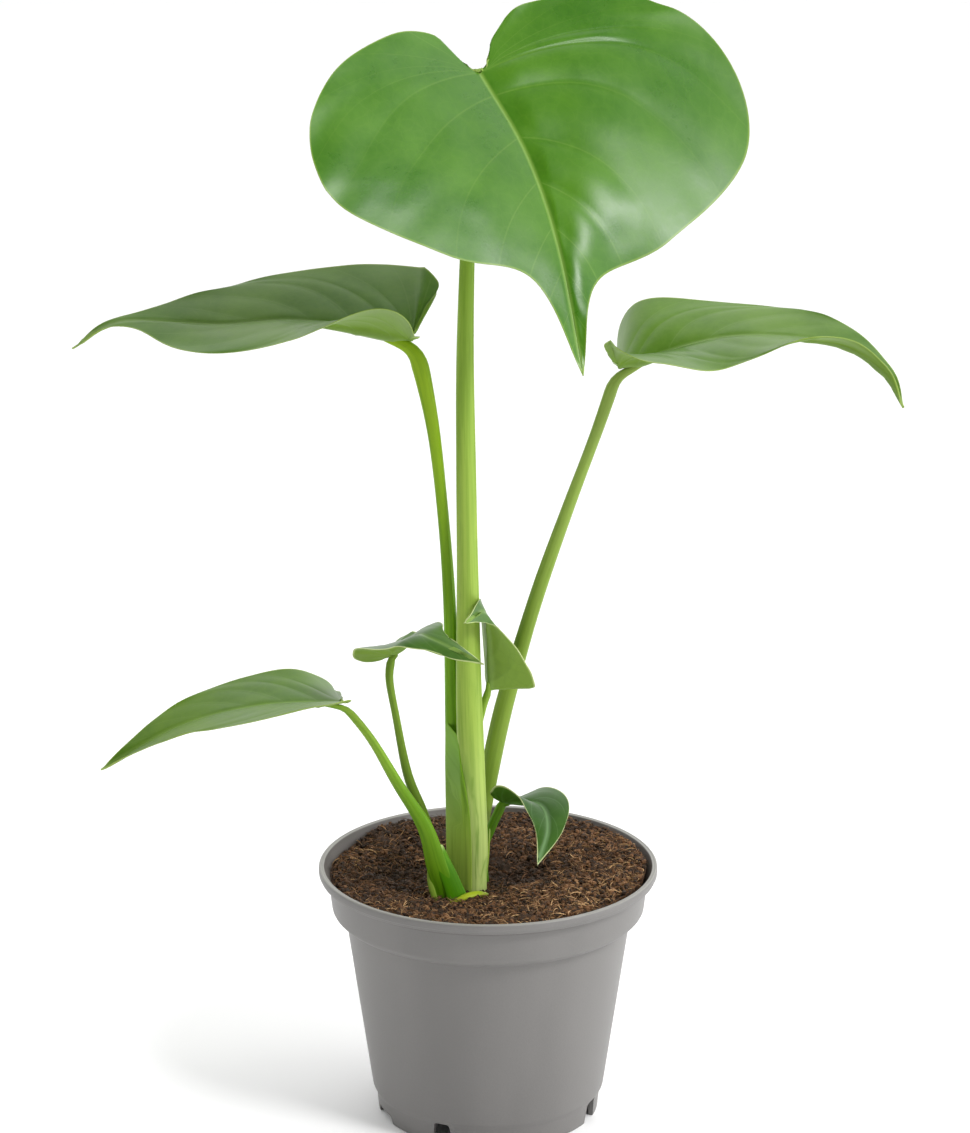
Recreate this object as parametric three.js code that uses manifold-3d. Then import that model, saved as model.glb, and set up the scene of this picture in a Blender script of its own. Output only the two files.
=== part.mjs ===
// Young swiss cheese plant standing in a round grey nursery pot.
// Millimetres, +Z up. The pot's axis is X = Y = 0, its foot stands on Z = 0, and its front faces -Y.
import * as THREE from 'three';
import { mergeVertices } from 'three/addons/utils/BufferGeometryUtils.js';
import Module from 'manifold-3d';

const GAP = 0.35; // free space between pieces that touch
const WELD = 0.001;
const BACK = new THREE.Vector3(0, 1, 0);

// Pot
const POT_HEIGHT = 92;
const LIP_RADIUS = 60;
const LIP_DROP = 3.6;
const WALL = 1.2;
const BAND_TOP_RADIUS = 56.7;
const BAND_BOTTOM_RADIUS = 55.3;
const BAND_BOTTOM = 76.4;
const STEP_BOTTOM = 73.6;
const BODY_TOP_RADIUS = 50.7;
const BODY_BOTTOM_RADIUS = 41.4;
const FOOT_TOP = 9.2;
const FOOT_RADIUS = 39.4;
const FLOOR_UNDERSIDE = 8.8;
const POT_SIDES = 48;

// Notches round the foot and drain holes in the floor
const TALL_NOTCHES = 4;
const TALL_NOTCH_ANGLE = -114;
const TALL_NOTCH = { top: 5.4, bottom: 8.6, height: 8.2, crown: 1.2 };
const LOW_NOTCH_ANGLE = -159;
const LOW_NOTCH = { top: 11, bottom: 15, height: 3, crown: 0.6 };
const NOTCH_CUT = { depth: 8, past: 3 }; // length of the notch cutter, and how far it stands out of the foot
const DRAIN_HOLES = 8;
const DRAIN_RING = 27;
const DRAIN_RADIUS = 3.5;
const DRAIN_SIDES = 14;
const DRAIN_CUT = 6;

// Soil
const SOIL_RIM_LEVEL = 89.4;
const SOIL_TILT = 1.5; // rise of the soil towards the right wall
const HOLLOW = { x: -13, y: -10, depth: 3.4, spread: 22 };
const PIT = { x: 8, y: 2, depth: 2.6, spread: 7 };
const SOIL_RINGS = [0.25, 0.42, 0.58, 0.72, 0.86];
const SOIL_SIDES = 36;

// Crown of the plant, from which every stalk rises, and its thick roots
const CROWN_TOP = 83.8;
const CROWN = { x: -7, y: -9 };
const CROWN_SECTIONS = [
  { z: 60, across: 2.5, through: 2.5 },
  { z: 64, across: 6, through: 7 },
  { z: 71, across: 9, through: 11 },
  { z: 79, across: 11, through: 13 },
  { z: CROWN_TOP, across: 10.6, through: 12.6 },
];
const CROWN_SIDES = 20;
const ROOT_START = 68;
const ROOT_BEND = 58;
const ROOT_END = 24;
const ROOT_RADII = [2.2, 1.9, 1.4, 0.8];
const ROOT_RINGS = 6;
const ROOT_SIDES = 6;
const ROOTS = [
  { angle: 20, reach: 34 },
  { angle: 85, reach: 28 },
  { angle: 150, reach: 30 },
  { angle: 205, reach: 26 },
  { angle: 265, reach: 25 },
  { angle: 320, reach: 31 },
];

// Half outlines: [along the rib in leaf lengths, sideways in half widths]. lobe is how far the lobe beside the
// stalk reaches back, and the other three are the widths at 0.38, 0.62 and 0.8 of the length.
const heart = (lobe, middle, fore, neck) => [
  [0, 0], [-0.13 * lobe, 0.12], [-0.235 * lobe, 0.38], [-0.16 * lobe, 0.78], [0.1, 1],
  [0.38, middle], [0.62, fore], [0.8, neck], [1, 0],
];
const LOBE_LENGTH = 0.235; // of the leaf, over which lobeBend is counted
const LOBE_TWIST = -0.3; // the twist stops this far behind the stalk, in leaf lengths

// Side veins. A place on the margin runs from 0 at the stalk to 1 at the tip.
const FIRST_SIDE_VEIN = 0.64; // veins before this place leave the rib at its foot, the others in turn along it
const VEIN_ARCH = 0.22; // height of a vein's arch against its length
const ARCH_STARTS = [0.2, 0.6]; // places between which the arch grows
const ARCH_ENDS = [0.9, 1]; // places between which it is lost again

// Blades. rib runs from the stalk to the tip, and face is the way the upper side looks. The pairs are for the
// half on the left and the half on the right of the rib, as seen from above with the tip pointing ahead.
// fold lifts each half at the rib, curl bends it on towards its margin and lobeBend lifts the lobes, in degrees.
const BLADES = {
  top_leaf: {
    rib: [[-3, -1, 373.5], [12.5, -17, 349], [23, -35, 321], [31, -58, 283]],
    face: [0.16, -0.84, 0.53],
    halfWidth: [80, 73.5],
    outline: [
      [[0, 0], [-0.1, 0.16], [-0.15, 0.36], [-0.065, 0.78], [0.185, 1.03],
        [0.42, 0.95], [0.62, 0.485], [0.72, 0.13], [1, 0]],
      [[0, 0], [-0.145, 0.12], [-0.18, 0.37], [-0.1, 0.75], [0.1, 1.01],
        [0.39, 0.96], [0.61, 0.55], [0.7, 0.165], [1, 0]],
    ],
    fold: [[-3.5], [22]],
    curl: [[-4.5], [-11]],
    lobeBend: [0, 0],
    twist: 7,
    rows: 18,
    steps: 7,
    thickness: 0.8,
  },
  left_leaf: {
    rib: [[-26, -4, 283], [-62.5, -4, 289.5], [-91.5, -7.5, 289], [-125, -3.5, 289], [-141.5, -3, 279.5]],
    face: [-0.14, -0.24, 0.96],
    halfWidth: [38.5, 35],
    outline: [heart(0.14, 0.7, 0.47, 0.11), heart(0.06, 0.7, 0.47, 0.11)],
    fold: [[33, 46.5, 13.5, -8], [32, 20.5, 15.5, 6.5]],
    curl: [[-10.5, -23.5], [-9.5, -26]],
    lobeBend: [5, 12],
    twist: -7.5,
    rows: 16,
    steps: 5,
    thickness: 0.7,
  },
  right_leaf: {
    rib: [[45, 6, 271], [81.5, 6.5, 281.5], [116.5, -2, 281.5], [133.5, -7, 272.5], [141, -12, 261]],
    face: [-0.05, -0.12, 0.99],
    halfWidth: [28.5, 30],
    outline: [heart(0.11, 0.74, 0.51, 0.22), heart(0.06, 0.74, 0.51, 0.22)],
    fold: [[-4, 34.5, 17.5, 29], [54, 28, -1.5, 76.5]],
    curl: [[-28, 11], [-27.5, -9]],
    lobeBend: [13, 1],
    twist: -6.5,
    rows: 16,
    steps: 5,
    thickness: 0.7,
  },
  low_left_leaf: {
    rib: [[-50.5, -20, 159], [-78.5, -24.5, 159], [-106, -24, 151.5], [-133.5, -27, 136.5]],
    face: [-0.04, -0.05, 1],
    halfWidth: [21, 23],
    outline: [heart(0.08, 0.86, 0.5, 0.235), heart(0.04, 0.86, 0.5, 0.235)],
    fold: [[17, 14.5, 6.5, 8], [-11, 6, 12, 37.5]],
    curl: [[11, -28.5], [2.5, -6.5]],
    lobeBend: [12.5, 21.5],
    twist: -5,
    rows: 14,
    steps: 4,
    thickness: 0.7,
  },
  mid_left_leaf: {
    rib: [[-33, -18, 175], [-24.5, -30.5, 186], [-18.5, -38, 187], [-1.5, -49.5, 182]],
    face: [0.07, -0.32, 0.95],
    halfWidth: [14.5, 16],
    outline: [heart(0.42, 0.74, 0.32, 0.23), heart(0.6, 0.74, 0.32, 0.23)],
    fold: [[39, 24.5, 10, -32], [31.5, 32.5, 4, -20]],
    curl: [[-41, -9], [-14, -36]],
    lobeBend: [56, -16.5],
    twist: 7,
    rows: 12,
    steps: 4,
    thickness: 0.6,
  },
  mid_right_leaf: {
    rib: [[0.7, -4.5, 158.5], [1, -5.2, 171.2], [-0.5, -11.3, 188.2], [-7.8, -29.2, 189.8]],
    face: [0.83, 0.53, 0.19],
    halfWidth: [16.5, 16],
    outline: [heart(0.05, 0.86, 0.34, 0.17), heart(0.17, 0.86, 0.34, 0.17)],
    fold: [[70, 27, -2.5, -31], [19, 12, 12, 4]],
    curl: [[8, 30.5], [38, 9]],
    lobeBend: [28.5, 45],
    twist: 4,
    rows: 12,
    steps: 4,
    thickness: 0.6,
  },
  small_leaf: {
    rib: [[5.6, 1, 114.7], [18, -7, 116.5], [21, -19, 112], [17, -34, 104]],
    face: [0.18, -0.18, 0.97],
    halfWidth: [11.5, 11],
    outline: [heart(0.35, 0.82, 0.47, 0.24), heart(0.13, 0.82, 0.47, 0.24)],
    fold: [[-16.5, 5, 28.5, -13.5], [33, 42, 12, 3.5]],
    curl: [[-20.5, -27.5], [27.5, -31]],
    lobeBend: [32.5, 13.5],
    twist: 2.5,
    rows: 12,
    steps: 4,
    thickness: 0.6,
  },
};

// Stalks, from the crown up to the blade. across and through are the half sizes of the section along the stalk,
// seen from the front and from the side.
const STALKS = {
  top_leaf: {
    path: [[-5, -11.5, 84.2], [-4.8, -11, 104.5], [-5.9, -10.3, 130], [-6.9, -8.5, 160], [-7.2, -6.5, 195],
      [-7.7, -3, 235], [-8, 2, 275], [-7, 6.5, 315], [-5.5, 6.5, 350], [-3.5, 0.2, 371.9]],
    across: [4.3, 4.5, 4.5, 4, 3.5, 3.3, 3, 2.6, 2.3, 2],
    through: [4.2, 4.3, 4.2, 3.8, 3.4, 3.2, 3, 2.6, 2.3, 1.8],
    rings: 18,
    sides: 12,
  },
  left_leaf: {
    path: [[-11, -5.5, 84.2], [-11.4, -4.5, 102], [-11.7, -3.5, 117], [-12.2, -2.5, 135], [-12.9, -0.5, 165],
      [-13.5, 0, 190], [-15.3, 0, 217], [-18.3, -1.5, 247], [-22, -3.5, 268.5], [-25.5, -4, 282]],
    across: [3, 3, 2.9, 2.6, 2.3, 2.2, 2, 2, 2, 2.2],
    through: [2.8, 2.8, 2.7, 2.5, 2.3, 2.2, 2, 2, 2, 1.8],
    rings: 16,
    sides: 10,
  },
  right_leaf: {
    path: [[-3.8, 1.5, 84.5], [-3.1, 4.5, 100.5], [-0.8, 8.2, 115.5], [4, 10, 144], [11.4, 9.5, 171.5],
      [18.9, 9, 194], [28, 8, 221], [37.5, 7, 248], [44.4, 6, 269.6]],
    across: [2.8, 3.1, 3.3, 3.2, 2.7, 2.5, 2.2, 2, 2.2],
    through: [2.8, 3, 3.1, 3, 2.6, 2.4, 2.2, 2, 1.8],
    rings: 16,
    sides: 10,
  },
  low_left_leaf: {
    path: [[-13.4, -19.6, 84.7], [-15.2, -20.2, 91], [-18.9, -20.5, 99], [-24.5, -20.5, 113], [-32, -20, 129],
      [-40.5, -20, 145.2], [-50.3, -20, 158.1]],
    across: [4, 3.6, 2.8, 2.1, 1.8, 1.5, 1.4],
    through: [1.5, 1.6, 1.8, 1.8, 1.6, 1.4, 1.2],
    rings: 13,
    sides: 10,
  },
  mid_left_leaf: {
    path: [[-16, -10.5, 84.7], [-18.2, -10, 97], [-22.5, -11.5, 114], [-28, -14, 130], [-32, -17, 153],
      [-34, -18, 166], [-33.4, -18, 173.3]],
    across: [1.9, 1.9, 1.8, 1.7, 1.4, 1.3, 1.5],
    through: [1.9, 1.9, 1.8, 1.7, 1.4, 1.3, 1.3],
    rings: 12,
    sides: 8,
  },
  mid_right_leaf: {
    path: [[-4, -4.4, 84.2], [-3.9, -4, 114], [-3.9, -3.5, 139], [-2, -4, 150.5], [0.1, -4.4, 157.4]],
    across: [1.6, 1.5, 1.4, 1.3, 1.3],
    through: [1.6, 1.5, 1.4, 1.3, 1.1],
    rings: 10,
    sides: 8,
  },
  small_leaf: {
    path: [[0.8, -3, 84.4], [-0.8, -1.7, 97], [1.4, -0.6, 105], [5, 0.8, 113.8]],
    across: [1.5, 1.4, 1.4, 1.5],
    through: [1.5, 1.4, 1.4, 1.3],
    rings: 8,
    sides: 8,
  },
};

// Short dry sheath that lies in front of the crown
const SHEATH = {
  path: [[-11, -23.6, 85.6], [-7.7, -22, 86.7], [-3.5, -20, 87], [0.4, -18.8, 86.6]],
  across: [0.5, 1.1, 1, 0.35],
  through: [1.2, 1.7, 1.5, 0.5],
  rings: 7,
  sides: 8,
};

const material = (color, roughness) => new THREE.MeshStandardMaterial({ color, roughness, metalness: 0 });
const POT_PLASTIC = material(0x84827f, 0.55);
const SOIL = material(0x45301f, 0.95);
const ROOT = material(0xb9a27a, 0.8);
const LEAF = material(0x5f8d40, 0.4);
const STALK = material(0x8ba648, 0.45);
const DRY_SHEATH = material(0xa3a83e, 0.6);

const { clamp, degToRad, mapLinear } = THREE.MathUtils;

// Smooth curve through evenly numbered points. x runs from 0 to points.length - 1.
function spline(points, x) {
  const last = points.length - 1;
  const at = clamp(x, 0, last);
  const i = Math.min(Math.floor(at), last - 1);
  const t = at - i;
  return points[0].map((_, k) => {
    const b = points[i][k];
    const c = points[i + 1][k];
    const a = i > 0 ? points[i - 1][k] : 2 * b - c;
    const d = i < last - 1 ? points[i + 2][k] : 2 * c - b;
    const square = 2 * a - 5 * b + 4 * c - d;
    const cube = 3 * b - a - 3 * c + d;
    return 0.5 * (2 * b + (c - a) * t + square * t ** 2 + cube * t ** 3);
  });
}

// Value at x, from 0 to 1, of a list of values spread evenly over that range.
function along(values, x) {
  if (values.length === 1) {
    return values[0];
  }
  return spline(values.map((value) => [value]), x * (values.length - 1))[0];
}

function curveThrough(points) {
  const vectors = points.map((point) => new THREE.Vector3(...point));
  return new THREE.CatmullRomCurve3(vectors, false, 'catmullrom', 0.5);
}

// Geometry with its doubled points joined and its empty triangles left out.
function weld(geometry) {
  const bare = new THREE.BufferGeometry();
  bare.setAttribute('position', geometry.attributes.position);
  bare.setIndex(geometry.index);
  const welded = mergeVertices(bare, WELD);
  const index = Array.from(welded.index.array);
  const kept = [];
  for (let i = 0; i < index.length; i += 3) {
    const [a, b, c] = index.slice(i, i + 3);
    if (a !== b && b !== c && c !== a) {
      kept.push(a, b, c);
    }
  }
  welded.setIndex(kept);
  return welded;
}

function geometryOf(points, index) {
  const geometry = new THREE.BufferGeometry();
  const numbers = points.flatMap((point) => [point.x, point.y, point.z]);
  geometry.setAttribute('position', new THREE.Float32BufferAttribute(numbers, 3));
  geometry.setIndex(index);
  return geometry;
}

// Closed solid over a row of rings, each end closed about the middle of its ring. The points of every ring run
// counterclockwise as seen from the last ring.
function skin(rings) {
  const sides = rings[0].length;
  const points = rings.flat();
  const index = [];
  for (let start = 0; start < (rings.length - 1) * sides; start += sides) {
    for (let i = 0; i < sides; i++) {
      const a = start + i;
      const b = start + ((i + 1) % sides);
      index.push(a, b, b + sides, a, b + sides, a + sides);
    }
  }
  for (const ring of [0, rings.length - 1]) {
    const middle = rings[ring].reduce((sum, point) => sum.add(point), new THREE.Vector3()).divideScalar(sides);
    points.push(middle);
    for (let i = 0; i < sides; i++) {
      const a = ring * sides + i;
      const b = ring * sides + ((i + 1) % sides);
      index.push(points.length - 1, ...(ring === 0 ? [b, a] : [a, b]));
    }
  }
  return geometryOf(points, index);
}

// Share of x's way from the first to the second value, from 0 to 1.
function share(x, [from, to]) {
  return clamp(mapLinear(x, from, to, 0, 1), 0, 1);
}

// Place in the flat blade, along the rib and sideways from it. u runs along the margin from the stalk to the
// tip, and v runs along the side vein that ends there, from the rib to the margin.
function flatPoint(blade, length, side, u, v) {
  const outline = blade.outline[side];
  const [edgeAlong, edgeAcross] = spline(outline, u * (outline.length - 1));
  const edge = new THREE.Vector2(edgeAlong * length, edgeAcross * blade.halfWidth[side]);
  const start = new THREE.Vector2(share(u, [FIRST_SIDE_VEIN, 1]) * length, 0);
  const chord = edge.clone().sub(start);
  const arch = VEIN_ARCH * share(u, ARCH_STARTS) * (1 - share(u, ARCH_ENDS));
  const bend = edge.clone().add(start).multiplyScalar(0.5);
  bend.add(new THREE.Vector2(-chord.y, chord.x).multiplyScalar(arch));
  return new THREE.QuadraticBezierCurve(start, bend, edge).getPoint(v);
}

// End of an arc of the given length that sets out along the first axis and turns towards the second one at a
// steady rate, in radians per mm.
function arcEnd(length, start, rate) {
  if (Math.abs(rate) < 1e-6) {
    return [length * Math.cos(start), length * Math.sin(start)];
  }
  const end = start + rate * length;
  return [(Math.sin(end) - Math.sin(start)) / rate, (Math.cos(start) - Math.cos(end)) / rate];
}

// Point on the middle surface of a blade. side is 0 or 1.
function bladePoint(blade, curve, side, u, v) {
  const length = curve.getLength();
  const flat = flatPoint(blade, length, side, u, v);
  const x = clamp(flat.x / length, 0, 1);
  const tangent = curve.getTangentAt(x);
  const normal = new THREE.Vector3(...blade.face).normalize();
  normal.addScaledVector(tangent, -normal.dot(tangent)).normalize();
  normal.applyAxisAngle(tangent, degToRad(blade.twist) * clamp(flat.x / length, LOBE_TWIST, 1));
  const across = tangent.clone().cross(normal).multiplyScalar(side === 0 ? -1 : 1);

  const fold = degToRad(along(blade.fold[side], Math.sqrt(x)));
  const curlRate = degToRad(along(blade.curl[side], x)) / blade.halfWidth[side];
  const [outwards, upwards] = arcEnd(Math.max(0, flat.y), fold, curlRate);
  const lobeRate = degToRad(blade.lobeBend[side]) / (LOBE_LENGTH * length);
  const [backwards, lifted] = arcEnd(Math.max(0, -flat.x), 0, lobeRate);
  const point = curve.getPointAt(x).addScaledVector(tangent, -backwards);
  return point.addScaledVector(across, outwards).addScaledVector(normal, upwards + lifted);
}

// Middle surface of a blade as one open sheet.
function bladeSheet(blade) {
  const curve = curveThrough(blade.rib);
  const points = [];
  const index = [];
  const columns = 2 * blade.steps + 1;
  for (let row = 0; row <= blade.rows; row++) {
    for (let column = 0; column < columns; column++) {
      const step = column - blade.steps;
      const side = step < 0 ? 0 : 1;
      points.push(bladePoint(blade, curve, side, row / blade.rows, Math.abs(step) / blade.steps));
    }
  }
  for (let row = 0; row < blade.rows; row++) {
    for (let column = 0; column < columns - 1; column++) {
      const a = row * columns + column;
      const b = a + 1;
      const c = b + columns;
      const d = a + columns;
      index.push(a, b, c, a, c, d);
    }
  }
  return weld(geometryOf(points, index));
}

// Closed solid of even thickness about an open sheet.
function thicken(sheet, thickness) {
  sheet.computeVertexNormals();
  const count = sheet.attributes.position.count;
  const faces = Array.from(sheet.index.array);
  const points = [];
  for (const lift of [thickness / 2, -thickness / 2]) {
    for (let i = 0; i < count; i++) {
      const point = new THREE.Vector3().fromBufferAttribute(sheet.attributes.position, i);
      const normal = new THREE.Vector3().fromBufferAttribute(sheet.attributes.normal, i);
      points.push(point.addScaledVector(normal, lift));
    }
  }
  const edges = new Set();
  const index = [...faces];
  for (let i = 0; i < faces.length; i += 3) {
    const [a, b, c] = faces.slice(i, i + 3);
    index.push(count + a, count + c, count + b);
    edges.add(`${a},${b}`).add(`${b},${c}`).add(`${c},${a}`);
  }
  for (const edge of edges) {
    const [a, b] = edge.split(',').map(Number);
    if (!edges.has(`${b},${a}`)) {
      index.push(b, a, count + a, b, count + a, count + b);
    }
  }
  return geometryOf(points, index);
}

// Closed stalk skinned through sections along its path. extra widens it all round and lengthens both ends.
function stem(part, extra = 0) {
  const curve = curveThrough(part.path);
  const sections = [];
  for (let ring = 0; ring <= part.rings; ring++) {
    const x = ring / part.rings;
    const centre = curve.getPointAt(x);
    const tangent = curve.getTangentAt(x);
    const across = BACK.clone().cross(tangent).normalize();
    const through = tangent.clone().cross(across);
    centre.addScaledVector(tangent, extra * (2 * x - 1));
    sections.push(oval(centre, across, through, along(part.across, x) + extra, along(part.through, x) + extra,
      part.sides));
  }
  return skin(sections);
}

function oval(centre, across, through, acrossRadius, throughRadius, sides) {
  const ring = [];
  for (let i = 0; i < sides; i++) {
    const angle = (2 * Math.PI * i) / sides;
    const point = centre.clone().addScaledVector(across, acrossRadius * Math.cos(angle));
    ring.push(point.addScaledVector(through, throughRadius * Math.sin(angle)));
  }
  return ring;
}

function crownBody(extra = 0) {
  const centre = new THREE.Vector3(CROWN.x, CROWN.y, 0);
  const side = new THREE.Vector3(1, 0, 0);
  const sections = CROWN_SECTIONS.map(({ z, across, through }) => {
    const lift = z < CROWN_TOP ? -extra : extra;
    return oval(centre.clone().setZ(z + lift), side, BACK, across + extra, through + extra, CROWN_SIDES);
  });
  return skin(sections);
}

// Thick root that leaves the crown sideways and turns down along the pot's wall.
function rootBody({ angle, reach }, extra = 0) {
  const turn = degToRad(angle);
  const at = (part, z) => [
    THREE.MathUtils.lerp(CROWN.x, reach * Math.cos(turn), part),
    THREE.MathUtils.lerp(CROWN.y, reach * Math.sin(turn), part),
    z,
  ];
  const path = [at(0.1, ROOT_START), at(0.5, ROOT_BEND), at(0.85, (ROOT_BEND + ROOT_END) / 2), at(1, ROOT_END)];
  const curve = curveThrough(path);
  const frames = curve.computeFrenetFrames(ROOT_RINGS, false);
  const sections = [];
  for (let ring = 0; ring <= ROOT_RINGS; ring++) {
    const x = ring / ROOT_RINGS;
    const radius = along(ROOT_RADII, x) + extra;
    const centre = curve.getPointAt(x);
    if (ring === ROOT_RINGS) {
      centre.addScaledVector(frames.tangents[ring], extra);
    }
    sections.push(oval(centre, frames.normals[ring], frames.binormals[ring], radius, radius, ROOT_SIDES));
  }
  return skin(sections);
}

const wasm = await Module();
wasm.setup();

function toSolid(geometry) {
  return new wasm.Manifold(new wasm.Mesh({
    numProp: 3,
    vertProperties: new Float32Array(geometry.attributes.position.array),
    triVerts: new Uint32Array(geometry.index.array),
  }));
}

function fromSolid(solid) {
  const mesh = solid.getMesh();
  const points = [];
  for (let i = 0; i < mesh.numVert; i++) {
    points.push(new THREE.Vector3(...mesh.vertProperties.subarray(i * mesh.numProp, i * mesh.numProp + 3)));
  }
  return geometryOf(points, Array.from(mesh.triVerts));
}

// Outer radius of the pot's straight side wall at height z, below the band.
function bodyRadius(z) {
  return mapLinear(z, FOOT_TOP, STEP_BOTTOM, BODY_BOTTOM_RADIUS, BODY_TOP_RADIUS);
}

function bandRadius(z) {
  return mapLinear(z, BAND_BOTTOM, POT_HEIGHT - LIP_DROP, BAND_BOTTOM_RADIUS, BAND_TOP_RADIUS);
}

function turned(profile, sides) {
  const lathe = new THREE.LatheGeometry(profile.map(([radius, z]) => new THREE.Vector2(radius, z)), sides);
  return weld(lathe.rotateX(Math.PI / 2));
}

// Cutter for one notch: a tapered arch pushed through the foot wall at the given angle.
function notch(size, angle) {
  const arch = new THREE.Shape();
  arch.moveTo(-size.bottom / 2, -1);
  arch.lineTo(size.bottom / 2, -1);
  arch.lineTo(size.top / 2, size.height - size.crown);
  arch.quadraticCurveTo(0, size.height + size.crown, -size.top / 2, size.height - size.crown);
  const { depth, past } = NOTCH_CUT;
  const cutter = new THREE.ExtrudeGeometry(arch, { depth, bevelEnabled: false, curveSegments: 4 });
  cutter.translate(0, 0, FOOT_RADIUS - depth + past);
  cutter.rotateX(Math.PI / 2);
  cutter.rotateZ(degToRad(angle + 90));
  return toSolid(weld(cutter));
}

// The profile runs from the middle of the floor's underside round the foot, up the outside, over the lip, down
// the inside and back to the middle of the floor.
function pot() {
  const top = POT_HEIGHT;
  const inner = bandRadius(top) - WALL;
  const profile = [
    [0, FLOOR_UNDERSIDE],
    [FOOT_RADIUS - WALL - 0.2, FLOOR_UNDERSIDE],
    [FOOT_RADIUS - WALL - 0.4, 0],
    [FOOT_RADIUS, 0],
    [FOOT_RADIUS + 0.7, FOOT_TOP - 2.2],
    [BODY_BOTTOM_RADIUS - 0.3, FOOT_TOP - 0.9],
    [BODY_BOTTOM_RADIUS, FOOT_TOP],
    [BODY_TOP_RADIUS, STEP_BOTTOM],
    [BODY_TOP_RADIUS + 2, STEP_BOTTOM + 0.4],
    [BAND_BOTTOM_RADIUS - 0.8, STEP_BOTTOM + 1.3],
    [BAND_BOTTOM_RADIUS, BAND_BOTTOM],
    [BAND_TOP_RADIUS, top - LIP_DROP],
    [LIP_RADIUS - 1.1, top - LIP_DROP + 0.1],
    [LIP_RADIUS - 0.2, top - LIP_DROP + 0.9],
    [LIP_RADIUS, top - 1.8],
    [LIP_RADIUS - 0.5, top - 0.5],
    [LIP_RADIUS - 1.6, top],
    [inner + 0.9, top],
    [inner, top - 1],
    [bandRadius(BAND_BOTTOM) - WALL, BAND_BOTTOM + 0.6],
    [BAND_BOTTOM_RADIUS - WALL - 1.4, STEP_BOTTOM + 2],
    [BODY_TOP_RADIUS - WALL + 0.5, STEP_BOTTOM + 1],
    [BODY_TOP_RADIUS - WALL, STEP_BOTTOM],
    [bodyRadius(FLOOR_UNDERSIDE + WALL) - WALL, FLOOR_UNDERSIDE + WALL],
    [0, FLOOR_UNDERSIDE + WALL],
  ];
  let solid = toSolid(turned(profile, POT_SIDES));
  for (let i = 0; i < TALL_NOTCHES; i++) {
    const turn = (360 / TALL_NOTCHES) * i;
    solid = solid.subtract(notch(TALL_NOTCH, TALL_NOTCH_ANGLE + turn));
    solid = solid.subtract(notch(LOW_NOTCH, LOW_NOTCH_ANGLE + turn));
  }
  for (let i = 0; i < DRAIN_HOLES; i++) {
    const turn = (2 * Math.PI * i) / DRAIN_HOLES;
    const hole = new THREE.CylinderGeometry(DRAIN_RADIUS, DRAIN_RADIUS, DRAIN_CUT, DRAIN_SIDES);
    hole.rotateX(Math.PI / 2);
    hole.translate(DRAIN_RING * Math.cos(turn), DRAIN_RING * Math.sin(turn), FLOOR_UNDERSIDE);
    solid = solid.subtract(toSolid(weld(hole)));
  }
  return fromSolid(solid);
}

// Height of the soil at a point: level at the wall, dished round the crown, with a pit on its right.
function soilHeight(x, y) {
  const dip = ({ x: cx, y: cy, depth, spread }) => (
    depth * Math.exp(-((x - cx) ** 2 + (y - cy) ** 2) / (2 * spread ** 2)));
  return SOIL_RIM_LEVEL + (SOIL_TILT * x) / BAND_TOP_RADIUS - dip(HOLLOW) - dip(PIT);
}

function soilRing(radius, height) {
  const ring = [];
  for (let i = 0; i < SOIL_SIDES; i++) {
    const angle = (2 * Math.PI * i) / SOIL_SIDES;
    const x = radius * Math.cos(angle);
    const y = radius * Math.sin(angle);
    ring.push(new THREE.Vector3(x, y, height ?? soilHeight(x, y)));
  }
  return ring;
}

function soil(crown, roots, stalks) {
  const floor = FLOOR_UNDERSIDE + WALL + GAP;
  const facet = Math.cos(Math.PI / POT_SIDES);
  const room = (radius) => (radius - WALL) * facet - GAP;
  const edge = room(bandRadius(SOIL_RIM_LEVEL));
  const sections = [
    soilRing(room(bodyRadius(floor)), floor),
    soilRing(room(BODY_TOP_RADIUS) - 0.1, STEP_BOTTOM + 0.8),
    soilRing(room(BAND_BOTTOM_RADIUS) - 1.5, STEP_BOTTOM + 2.6),
    soilRing(room(BAND_BOTTOM_RADIUS) - 0.2, BAND_BOTTOM + 1),
    ...[...SOIL_RINGS, 1].reverse().map((part) => soilRing(edge * part)),
    soilRing(edge * 0.1),
  ];
  let solid = toSolid(skin(sections));
  for (const piece of [crown, ...roots, ...stalks]) {
    solid = solid.subtract(toSolid(piece));
  }
  return fromSolid(solid);
}

function crownAndRoots() {
  let solid = toSolid(crownBody());
  for (const root of ROOTS) {
    solid = solid.add(toSolid(rootBody(root)));
  }
  return fromSolid(solid);
}

const plant = new THREE.Group();
plant.name = 'potted_swiss_cheese_plant';

function add(name, geometry, surface) {
  const mesh = new THREE.Mesh(geometry, surface);
  mesh.name = name;
  plant.add(mesh);
}

add('pot', pot(), POT_PLASTIC);
const clearances = [...Object.values(STALKS), SHEATH].map((part) => stem(part, GAP));
add('potting_soil', soil(crownBody(GAP), ROOTS.map((root) => rootBody(root, GAP)), clearances), SOIL);
add('crown_and_roots', crownAndRoots(), ROOT);
for (const [name, blade] of Object.entries(BLADES)) {
  add(`${name}_blade`, thicken(bladeSheet(blade), blade.thickness), LEAF);
}
for (const [name, stalk] of Object.entries(STALKS)) {
  add(`${name}_stalk`, stem(stalk), STALK);
}
add('base_sheath', stem(SHEATH), DRY_SHEATH);

export default plant;
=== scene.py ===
"""Young swiss cheese plant in a round grey nursery pot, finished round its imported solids.

Metres, +Z up. The pot's axis is X = Y = 0, its foot stands on Z = 0, and its front faces -Y. The tables of shapes
below are in millimetres and degrees.
"""

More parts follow.
